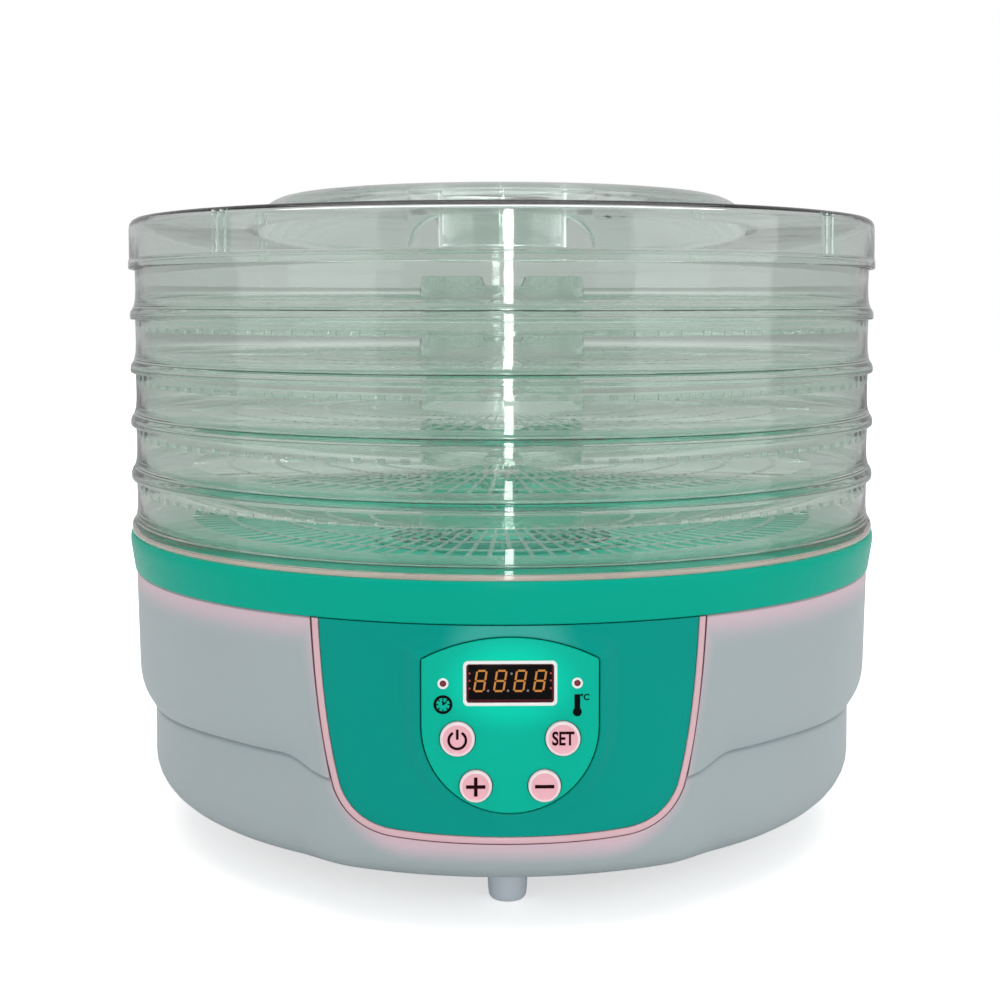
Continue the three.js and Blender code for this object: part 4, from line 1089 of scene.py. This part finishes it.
# %% Display parts
outside = rounded_box((bezel.low.x, bezel.low.z), (bezel.high.x, bezel.high.z), BEZEL_CORNER)
BEZEL_EDGE = 1.15
inside = rounded_box((bezel.low.x + BEZEL_EDGE, bezel.low.z + BEZEL_EDGE),
                     (bezel.high.x - BEZEL_EDGE, bezel.high.z - BEZEL_EDGE), 1.0)
bezel_frame = rounded_plate("bezel_frame", outside, bezel.low.y, plate.high.y, 0.4, white_finish,
                            inner=inside)
line_inner = rounded_box((bezel.low.x + 1.9, bezel.low.z + 2.2),
                         (bezel.high.x - 1.9, bezel.high.z - 1.5), 0.5)
red_line = rounded_plate("red_line_frame", inside, plate_front - 0.15, plate.high.y, 0.05,
                         red_line_finish, inner=line_inner)
dark_window = rounded_plate("dark_window", line_inner, plate_front - 0.1, plate.high.y, 0.05,
                            window_finish)
SLANT = 0.16
DIGIT_HEIGHT, DIGIT_WIDTH, STROKE, PITCH = 7.0, 3.25, 0.66, 6.8
display_z = bezel.middle.z + 0.85
digits_front = plate_front - 0.16


def digit(x, z):
    """Seven slanted strokes with small gaps between them."""
    half, side = DIGIT_HEIGHT / 2, DIGIT_WIDTH / 2
    strokes = [bar(x + SLANT * h, z + h, DIGIT_WIDTH - STROKE, STROKE) for h in (-half, 0, half)]
    for sx in (-side, side):
        for h in (-half / 2, half / 2):
            strokes.append(bar(x + sx + SLANT * h, z + h, STROKE, half - STROKE * 0.75, 0, SLANT))
    return strokes


digit_xs = [(k - 1.5) * PITCH for k in range(4)]
digits = print_flat("digits", [s for x in digit_xs for s in digit(x, display_z)], amber_finish,
                    digits_front)
points = print_flat("points", [disc(x + PITCH / 2 - 0.75, display_z - 3.4, 0.42, 14)
                               for x in digit_xs[:3]] + [disc(0.45, display_z + 2.5, 0.42, 14)],
                    point_glow_finish, digits_front)
dot_xs = (digit_xs[0] - 3.7, digit_xs[3] + 3.7)
dots = print_flat("dots", [disc(x, display_z + h, 0.38, 14)
                           for x in dot_xs for h in (-2.6, 0.1, 2.6)], dot_finish, digits_front)
print("digit faces", len(digits.data.polygons))

# %% Lamps
lamp_parts = {}
for lamp in LAMPS:
    span = Span(lamp)
    ring = Span(f"{lamp}_bezel")
    outer_radius = ring.size.x / 2
    collar = stand_forward(turned(f"{lamp}_collar", softened([
        (1.1, -plate.high.y), (outer_radius, -plate.high.y), (outer_radius, -ring.low.y, 0.4),
        (1.1, -ring.low.y, 0.3)]), white_finish, 48), ring.middle.x, ring.middle.z)
    lens = stand_forward(turned(f"{lamp}_lens", softened([
        (0, -plate.high.y), (1.08, -plate.high.y), (1.08, -plate_front, 0.6),
        (0, -span.low.y)]), lamp_finish, 32), ring.middle.x, ring.middle.z)
    lamp_parts[lamp] = (collar, lens)
print("lamps", len(lamp_parts))

# %% Signs under the lamps: a clock and a thermometer
lamp_ring = Span("timer_led_bezel")
sign_front = plate_front - 0.05
clock_x, clock_z, clock_r = lamp_ring.middle.x, lamp_ring.middle.z - 7.3, 2.8
clock = [bow(clock_x, clock_z, clock_r, 0.95, 0, 359.9)]
clock += [bar(clock_x + 0.02, clock_z + 0.6, 0.6, 1.5, -8),
          bar(clock_x + 0.6, clock_z + 0.45, 0.6, 1.5, 52)]
clock += [bar(clock_x + 1.95 * math.sin(a), clock_z + 1.95 * math.cos(a), 0.42, 0.75,
              math.degrees(a)) for a in [k * math.pi / 4 for k in range(8)]]
warm_x, warm_z = Span("heat_led_bezel").middle.x, lamp_ring.middle.z - 10
bulb = 1.55
arc = [math.radians(40 + 280 * k / 24) for k in range(25)]
thermometer = [[(warm_x + bulb * math.sin(a), warm_z + bulb * math.cos(a)) for a in arc]
               + [(warm_x - 1, warm_z + 6.1), (warm_x + 1, warm_z + 6.1)]]
signs = print_flat("signs", clock + thermometer, ink_finish, sign_front)
degree = lettering(
    "degree_sign", "°C", 2.9, warm_x + 2.55, warm_z + 5.0, ink_finish, sign_front, 0.09)
print("sign faces", len(signs.data.polygons) + len(degree.data.polygons))

# %% [markdown]
# ## Keys
# Each key is a low cap whose rounded rim is painted paler than its face, a painted highlight. It
# goes in half a millimetre, so its sign is made as a thin print on it and rides on the same body.

# %% Keys with their signs
signs_of_keys = {}
RIM_HIGHLIGHT_WIDTH = 0.95  # width of the painted highlight on a key's edge
for key in KEYS:
    span = Span(key)
    x, z, radius = span.middle.x, span.middle.z, key_radius[key]
    face = -span.low.y
    cap = stand_forward(turned(f"{key}_cap", softened([
        (0, face - 4), (radius, face - 4), (radius, face - 0.05, 1.3), (radius - 1.3, face, 0.5),
        (radius - 1.6, face - 0.22, 0.5), (0, face - 0.1)], 5), button_finish, 72), x, z)
    # painted highlight: the rim faces take the paler finish
    cap.data.materials.append(key_rim_highlight_finish)
    for polygon in cap.data.polygons:
        off = polygon.center / MM - Vector((x, 0, z))
        polygon.material_index = int(math.hypot(off.x, off.z) > radius - RIM_HIGHLIGHT_WIDTH)
    front = span.low.y + 0.07
    if key == "power_button":
        sign = print_flat("power_sign", [bow(x, z - 0.2, 2.95, 0.9, 30, 330),
                                         bar(x, z + 1.8, 0.9, 3.5)], maroon_finish, front)
    elif key == "set_button":
        sign = lettering("set_sign", "SET", 6.5, x, z, maroon_finish, front, 0.17, 0.75)
    elif key == "plus_button":
        sign = print_flat("plus_sign", [
            bar(x, z, 6.6, 1.2), bar(x, z + 1.95, 1.2, 2.7), bar(x, z - 1.95, 1.2, 2.7)],
            maroon_finish, front)
    else:
        sign = print_flat("minus_sign", [bar(x, z, 6.6, 1.2)], maroon_finish, front)
    signs_of_keys[key] = (cap, sign)
print("keys", len(signs_of_keys))

# %% [markdown]
# ## Trays
# All five trays are the same moulding, so one mesh is made and used at five heights. The floor is
# the part that repeats: five rows of narrow slots between rings. Geometry Nodes builds
# it as a grid that is bent into a disc. The cells of the grid that are slots are deleted, and what
# is left gets its thickness. The wall, the outer bead, the skirt that drops into the tray below and
# the notched tube round the middle are turned.

# %% The tree for a slotted floor
SPOKES = 108  # ribs that run outwards
# The floor's rings: slots lie between the first and second radius, the third and fourth, and so on.
FLOOR_RADII = (36, 56.5, 58.5, 76.5, 78.5, 97, 99, 117.5, 119.5, 134, 155.4)


def floor_tree():
    """A flat grid whose columns are angles and whose rows are rings, with slots cut through."""
    tree, given, end = new_tree("slotted_floor", {
        "Spokes": "Int", "Rib Share": "Float", "Thickness": "Float", "Finish": "Material"})
    rows = len(FLOOR_RADII)
    columns = math_node(tree, "ADD", math_node(tree, "MULTIPLY", given["Spokes"], 2.0), 1.0)
    grid = node(tree, "GeometryNodeMeshGrid", {
        "Size X": 1.0, "Size Y": 1.0, "Vertices X": columns, "Vertices Y": rows})
    index = node(tree, "GeometryNodeInputIndex", {})["Index"]
    cell_row = math_node(tree, "MODULO", index, rows - 1.0)
    cell_column = math_node(tree, "FLOOR", math_node(tree, "DIVIDE", index, rows - 1.0))
    odd = math_node(tree, "GREATER_THAN", math_node(tree, "MODULO", cell_column, 2.0), 0.5)
    slot_row = math_node(tree, "LESS_THAN", math_node(tree, "MODULO", cell_row, 2.0), 0.5)
    not_edge = math_node(tree, "LESS_THAN", cell_row, rows - 2.5)
    doomed = math_node(tree, "MULTIPLY", math_node(tree, "MULTIPLY", odd, slot_row), not_edge)
    kept = node(tree, "GeometryNodeDeleteGeometry", {
        "Geometry": grid["Mesh"], "Selection": doomed}, domain="FACE")
    place = node(tree, "GeometryNodeInputPosition", {})["Position"]
    parts = node(tree, "ShaderNodeSeparateXYZ", {"Vector": place})
    across = math_node(tree, "ADD", parts["X"], 0.5)
    column = math_node(tree, "ROUND", math_node(tree, "MULTIPLY", across, math_node(
        tree, "SUBTRACT", columns, 1.0)))
    row = math_node(tree, "ROUND", math_node(
        tree, "MULTIPLY", math_node(tree, "ADD", parts["Y"], 0.5), rows - 1.0))
    pair = math_node(tree, "FLOOR", math_node(tree, "DIVIDE", column, 2.0))
    second = math_node(tree, "MODULO", column, 2.0)
    share = math_node(tree, "ADD", pair, math_node(tree, "MULTIPLY", second, given["Rib Share"]))
    angle = math_node(tree, "MULTIPLY", share, math_node(
        tree, "DIVIDE", 2 * math.pi, given["Spokes"]))
    radius = 0.0
    for k, value in enumerate(FLOOR_RADII):
        here = math_node(tree, "COMPARE", row, float(k), 0.5)
        radius = math_node(tree, "ADD", math_node(tree, "MULTIPLY", here, value * MM), radius)
    bent = node(tree, "ShaderNodeCombineXYZ", {
        "X": math_node(tree, "MULTIPLY", radius, math_node(tree, "COSINE", angle)),
        "Y": math_node(tree, "MULTIPLY", radius, math_node(tree, "SINE", angle))})["Vector"]
    disc_shape = node(tree, "GeometryNodeSetPosition", {
        "Geometry": kept[0], "Position": bent})
    sealed = node(tree, "GeometryNodeMergeByDistance", {
        "Geometry": disc_shape[0], "Distance": 0.01 * MM})
    raised = node(tree, "GeometryNodeExtrudeMesh", {
        "Mesh": sealed[0], "Offset Scale": given["Thickness"], "Individual": False})
    under = node(tree, "GeometryNodeFlipFaces", {"Mesh": sealed[0]})
    closed = node(tree, "GeometryNodeMergeByDistance", {
        "Geometry": joined(tree, raised[0], under[0]), "Distance": 0.01 * MM})
    return ended(tree, given, end, closed[0])


RIB_SHARE = 0.24  # how much of each step is rib, the rest is slot
RIB_THICKNESS = 0.35
FLOOR_LIFT = 1.6  # just under the top of the rim round it
slotted_floor = grow("slotted_floor", floor_tree(), hazy_finish, {
    "Spokes": SPOKES, "Rib Share": RIB_SHARE, "Thickness": RIB_THICKNESS * MM})
build = bmesh.new()
build.from_mesh(slotted_floor.data)
print("floor faces", len(build.faces), "open edges", sum(not e.is_manifold for e in build.edges),
      "volume", round(build.calc_volume() * 1e6, 2), "ml")
build.free()

# %% One tray
FLOOR_TOP = 2.0
tray_base = first_tray.low.z + 7  # underside of the first tray's floor
PITCH_Z = Span("tray_2").low.z - first_tray.low.z
NUB = 1.4  # how far the wall draws in between two beads
wall_top = first_tray.high.z - tray_base


def tray_wall():
    """Wall, bead and skirt as one closed outline; heights are above the floor's underside."""
    return softened([
        (153.2, 0), (153.2, -6.8, 0.4), (154.5, -6.8, 0.4), (154.7, -0.4, 0.3),
        (157.3, -0.4, 0.2), (157.4, -1.9, 0.4), (159, -1.9, 0.9), (159, 1.2, 1.2),
        (157.3, 3.6, 2.5), (157.1 - NUB * 0.35, 9, 6), (157, wall_top, 0.4), (155.2, wall_top, 0.4),
        (155.1 - NUB * 0.35, 9, 6), (154.9, FLOOR_TOP, 0.5), (153.2, FLOOR_TOP)])


tray_body = turned("tray_wall", tray_wall(), tray_finish, 224, 30)


def collar_outline(angle):
    """The tube round the middle, lower at its four notches."""
    off = abs((angle + math.pi / 4) % (math.pi / 2) - math.pi / 4)
    top = 15 - 5 * (1 - smooth(off, math.radians(13), math.radians(15.5)))
    return softened([(34.1, 0.0), (36.2, 0.0), (36, top, 0.4), (34.2, top, 0.4)])


tray_collar = turned("tray_collar", collar_outline, tray_finish, 144, 30)
tooth = block("tooth", (154.3, -1.6, -6.9), (155.25, 1.6, -5.0))
# the teeth are white as painted highlights
tooth.data.materials[0] = tooth_highlight_finish
TEETH = 108  # under the skirt
teeth = set_round("skirt_teeth", tooth, TEETH)
moved(slotted_floor, z=FLOOR_LIFT)
one_tray = merged("one_tray", [tray_body, slotted_floor, tray_collar, teeth])
print("tray triangles", sum(len(p.vertices) - 2 for p in one_tray.data.polygons))


def another(thing, name, z):
    """A copy of a finished piece at a height."""
    mesh = thing.data.copy()
    mesh.transform(Matrix.Translation((0, 0, z * MM)))
    copy = bpy.data.objects.new(name, mesh)
    bpy.context.scene.collection.objects.link(copy)
    return copy


clear_trays = {tray: another(one_tray, f"clear_{tray}", tray_base + i * PITCH_Z)
               for i, tray in enumerate(TRAYS)}
bpy.data.objects.remove(one_tray)

# %% [markdown]
# ## Lid
# The lid is thicker than the trays and has a raised middle with a round well, crossed by a bar that
# the hand lifts it by. Pairs of clip ribs stand on its rim and three short vents lie near each.

# %% Lid shell
low, high = lid.low.z, lid.high.z
flat = low + 20.8
WELL = 41  # radius of the round well
lid_body = turned("lid_shell", softened([
    (157.5, low, 0.3), (159.4, low, 0.6), (159.5, low + 3.0, 0.4), (159.1, low + 4.0, 0.5),
    (159.1, flat, 4.5), (109, flat, 2), (104, flat + 5.5, 5), (94, high, 12), (41.2, high, 1.6),
    (WELL, flat - 10, 2), (0, flat - 10.0), (0, flat - 8), (39, flat - 8, 1.5),
    (39, high - 1.8, 1.2), (93, high - 1.8, 10), (101.5, flat + 3.6, 4), (106.5, flat - 2, 2),
    (157.3, flat - 2, 2.5)]), lid_finish, 224, 30)
CLIP_TURN = 0.8  # degrees from a pair's middle to each rib
LID_TURN = 49  # where the first pair stands


def clip_ribs(turn):
    """One rib of each of the four pairs."""
    rib = block("clip_rib", (156.8, -1.1, low + 4), (159.35, 1.1, flat - 1.2))
    rib.data.materials[0] = lid_finish
    return set_round("clip_ribs", rib, 4, LID_TURN + turn)


def vents(turn):
    """One slot at each of the four places."""
    return set_round("vent_tool", block("vent", (78, -1.1, flat), (92, 1.1, high + 5)), 4,
                     LID_TURN + turn)


lid_body = cut(lid_body, vents(-5), vents(0), vents(5))
grip = rounded_plate("grip_bar", rounded_box((-40.8, high - 4.0), (40.8, high - 0.3), 0.3, 3),
                     -6, 6, 1.2, lid_finish)
clear_lid = merged("clear_lid", [lid_body, clip_ribs(-CLIP_TURN), clip_ribs(CLIP_TURN), grip],
                   lid_finish)
print("lid faces", len(clear_lid.data.polygons))

# %% [markdown]
# ## Feet, screws and the cord gland
# The four feet are the same turned post, and the four case screws the same turned screw with a
# cross cut into its head. Each is a copy in its own place.

# %% Small parts
foot_shape = Span("foot_front")
foot_radius = foot_shape.size.x / 2
foot_height = foot_shape.high.z


def round_post(name, x, y):
    """A foot with a softly rounded sole."""
    post = turned(name, softened([
        (0, 0.6), (foot_radius * 0.45, 0.5), (foot_radius * 0.55, 0, 0.3),
        (foot_radius - 0.5, 0, 2.6),
        (foot_radius, foot_height * 0.5, 3), (foot_radius - 0.3, foot_height),
        (0, foot_height)], 6), foot_lightened_finish, 64)
    return moved(post, x=x, y=y)


rubber_feet = {}
for side in ("front", "right", "back", "left"):
    span = Span(f"foot_{side}")
    rubber_feet[side] = round_post(f"rubber_foot_{side}", span.middle.x, span.middle.y)


def brushed_metal(name, colour, roughness=0.3):
    """Metal with fine marks that make its gloss uneven."""
    return new_finish(name, lambda tree: {
        "Base Color": cloudy(tree, colour, 0.06, 40), "Metallic": 1.0,
        "Roughness": spread(tree, noise(tree, 600, 4), roughness * 0.7, roughness * 1.3)})


steel_finish = brushed_metal("steel", paint(176, 178, 180))
case_screw = turned("case_screw", softened([
    (0, screw.low.z), (2.9, screw.low.z, 0.5), (3.4, screw.low.z + 1.0, 0.5),
    (3.4, screw.low.z + 2.2, 0.2), (1.5, screw.low.z + 2.2), (1.5, screw.high.z, 0.6),
    (0, screw.high.z)]), steel_finish, 48)
case_screw = cut(case_screw, *(
    block("cross", (-x, -y, screw.low.z - 1), (x, y, screw.low.z + 1.1))
    for x, y in ((2, 0.4), (0.4, 2))))
case_screws = {}
for i in range(1, 5):
    span = Span(f"case_screw_{i}")
    case_screws[i] = moved(another(case_screw, f"case_screw_head_{i}", 0),
                           x=span.middle.x, y=span.middle.y)
bpy.data.objects.remove(case_screw)
gland = Span("cord_gland")
gland_ring = stand_forward(turned("gland_ring", softened([
    (3.6, -gland.high.y, 1), (gland.size.x / 2 - 0.1, -gland.high.y, 0.8),
    (gland.size.x / 2 - 0.1, -gland.high.y + 2.2, 0.5), (5.8, -gland.high.y + 2.4),
    (5.8, -gland.low.y, 0.4), (3.6, -gland.low.y, 0.5)]), black_finish, 72),
    gland.middle.x, gland.middle.z)
gland_tool = forward_rod("gland_tool", 6.2, gland.middle.x, gland.middle.z, 120, 175)
base_shell = cut(base_shell, gland_tool)
print("screws", len(case_screws), "feet", len(rubber_feet))

# %% [markdown]
# ## Inside
# The fan, heater and boards hardly show, but they are there when the trays are lifted. Their
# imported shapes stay, and only their finishes change.

# %% Inner finishes
board_finish = moulded("circuit_board", paint(22, 92, 58), 0.35, cloud=0.12)
relay_finish = moulded("relay_plastic", paint(36, 72, 140), 0.35)
cable_finish = moulded("cable_jacket", paint(196, 196, 200), 0.45)
mica_finish = moulded("mica_sheet", paint(196, 176, 132), 0.35, cloud=0.2, grain=300)
coil_finish = brushed_metal("resistance_wire", paint(150, 138, 128), 0.42)
clear_part_finish = moulded("natural_nylon", paint(226, 224, 214), 0.4)
INNER = {
    "circuit_board": board_finish, "relay": relay_finish, "cable": cable_finish,
    "mica": mica_finish, "coil": coil_finish, "steel": steel_finish,
    "black_plastic": black_finish, "white_bezel": white_finish, "button": button_finish,
    "clear_plastic": clear_part_finish, "green_cover": green_ring_finish,
    "display_window": window_finish, "lamp_lens": lamp_finish, "foot": foot_lightened_finish,
}
slot_of = {part["node"]: part["material_slot"] for part in frame["record"]["subparts"]}
print("slots", sorted(set(slot_of.values())))

# %% [markdown]
# ## Bodies and slots
# Every piece is attached to the body it moves with, and the imported nodes it stands for are
# hidden.
# Imported nodes that no piece stands for get their finish here.


# %% Attach each piece to its body
def belongs(thing, body, slot, *nodes):
    """Attaches a piece to its body and hides the nodes it stands for; slot is not used."""
    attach(thing, body)
    if nodes:
        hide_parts(*nodes)


belongs(base_shell, "base", "shell", "housing_shell")
belongs(cover_shape, "base", "green_cover", "upper_cover")
belongs(seam, "base", "pink_trim")
belongs(fine_grille, "base", "green_cover", "outlet_grille")
belongs(fascia, "base", "green_panel", "front_panel")
belongs(pale_trim, "base", "pink_trim", "panel_trim")
belongs(groove, "base", "pink_trim")
belongs(overlay, "base", "control_plate", "control_plate")
belongs(bezel_frame, "base", "white_bezel", "display_bezel")
belongs(dark_window, "base", "display_window", "display_window")
belongs(red_line, "base", "display_window")
for sign in (digits, points, dots):
    belongs(sign, "base", "lamp_lens")
for sign in (signs, degree):
    belongs(sign, "base", "control_plate")
for lamp, (collar, lens) in lamp_parts.items():
    belongs(collar, "base", "white_bezel", f"{lamp}_bezel")
    belongs(lens, "base", "lamp_lens", lamp)
for key, (cap, sign) in signs_of_keys.items():
    belongs(cap, key.replace("button", "key"), "button", key)
    belongs(sign, key.replace("button", "key"), "button")
for tray in TRAYS:
    belongs(clear_trays[tray], f"{tray}_body", "clear_plastic", tray)
belongs(clear_lid, "lid_body", "clear_plastic", "lid")
for side, thing in rubber_feet.items():
    belongs(thing, "base", "foot", f"foot_{side}")
for i, thing in case_screws.items():
    belongs(thing, "base", "steel", f"case_screw_{i}")
belongs(gland_ring, "base", "black_plastic", "cord_gland")
for name, thing in frame["nodes"].items():
    if not thing.hide_render:
        for place in thing.material_slots:
            place.material = INNER[slot_of[name]]

# %% [markdown]
# ## Stage and light
# A plain white floor and world, and soft lights: a wide one above, one on each side, and a narrow
# upright one beside the camera that draws a bright line down the clear wall. Clear plastic needs
# many bounces, or the far walls turn black.

# %% Floor and world
FLOOR_HALF = 6  # metres, like all lengths in this cell
SHADOW_FROM, SHADOW_TO = 0.22, 0.75  # the floor goes from shaded to plain white between these
# How bright the world is: seen by itself, through clear plastic, mirrored, and as a light.
SKY_SEEN, SKY_THROUGH, SKY_MIRRORED, SKY_LIGHT = 1.0, 0.66, 0.55, 0.36


def floor_inputs(tree):
    """White, and lit by itself for the camera, so that it ends in the white of the world."""
    glow = spread(tree, length_of(tree, own_place(tree)), 0.58, 1.0, SHADOW_FROM, SHADOW_TO,
                  "SMOOTHSTEP")
    seen = node(tree, "ShaderNodeLightPath", {})["Is Camera Ray"]
    return {"Base Color": paint(250, 250, 250), "Roughness": 0.7, "Specular IOR Level": 0.1,
            "Emission Color": (1, 1, 1, 1), "Emission Strength": math_node(
                tree, "MULTIPLY", seen, glow)}


floor_mesh = bpy.data.meshes.new("floor")
floor_mesh.from_pydata([(x * FLOOR_HALF, y * FLOOR_HALF, 0) for x, y in (
    (-1, -1), (1, -1), (1, 1), (-1, 1))], [], [(0, 1, 2, 3)])
floor_mesh.materials.append(new_finish("floor", floor_inputs))
floor = bpy.data.objects.new("floor", floor_mesh)
bpy.context.scene.collection.objects.link(floor)
floor.location.z = -0.0005
world = bpy.data.worlds.new("studio")
bpy.context.scene.world = world
world.use_nodes = True
sky = world.node_tree
ways = node(sky, "ShaderNodeLightPath", {})


def backdrop(strength):
    """A plain white of a given strength."""
    return node(sky, "ShaderNodeBackground", {
        "Color": (1, 1, 1, 1), "Strength": strength})["Background"]


through = either(sky, ways["Is Transmission Ray"], backdrop(SKY_LIGHT), backdrop(SKY_THROUGH))
mirrored_too = either(sky, ways["Is Glossy Ray"], through, backdrop(SKY_MIRRORED))
fill(sky, sky.nodes["World Output"], {
    "Surface": either(sky, ways["Is Camera Ray"], mirrored_too, backdrop(SKY_SEEN))})


def soft_light(name, place, aim, width, height, power):
    """A rectangular light that looks at a point; lengths in metres."""
    data = bpy.data.lights.new(name, "AREA")
    data.shape = "RECTANGLE"
    data.size, data.size_y, data.energy = width, height, power
    lamp = bpy.data.objects.new(name, data)
    bpy.context.scene.collection.objects.link(lamp)
    lamp.location = place
    lamp.rotation_euler = (Vector(aim) - Vector(place)).to_track_quat("-Z", "Y").to_euler()
    return lamp


middle_of_it = (0, 0, 0.13)
soft_light("above", (0, -0.1, 1.5), middle_of_it, 1.8, 1.2, 12)
soft_light("left", (-1.7, -1.0, 0.7), middle_of_it, 1.8, 1.4, 5.5)
soft_light("right", (1.7, -1.0, 0.7), middle_of_it, 1.8, 1.4, 7.5)
soft_light("front_line", (0.02, -1.3, 0.45), middle_of_it, 0.055, 0.8, 2.2)

scene = bpy.context.scene
scene.view_settings.view_transform = "Standard"
scene.cycles.max_bounces = 20
scene.cycles.transmission_bounces = 20
scene.cycles.transparent_max_bounces = 16
scene.cycles.diffuse_bounces = 4
scene.cycles.glossy_bounces = 8
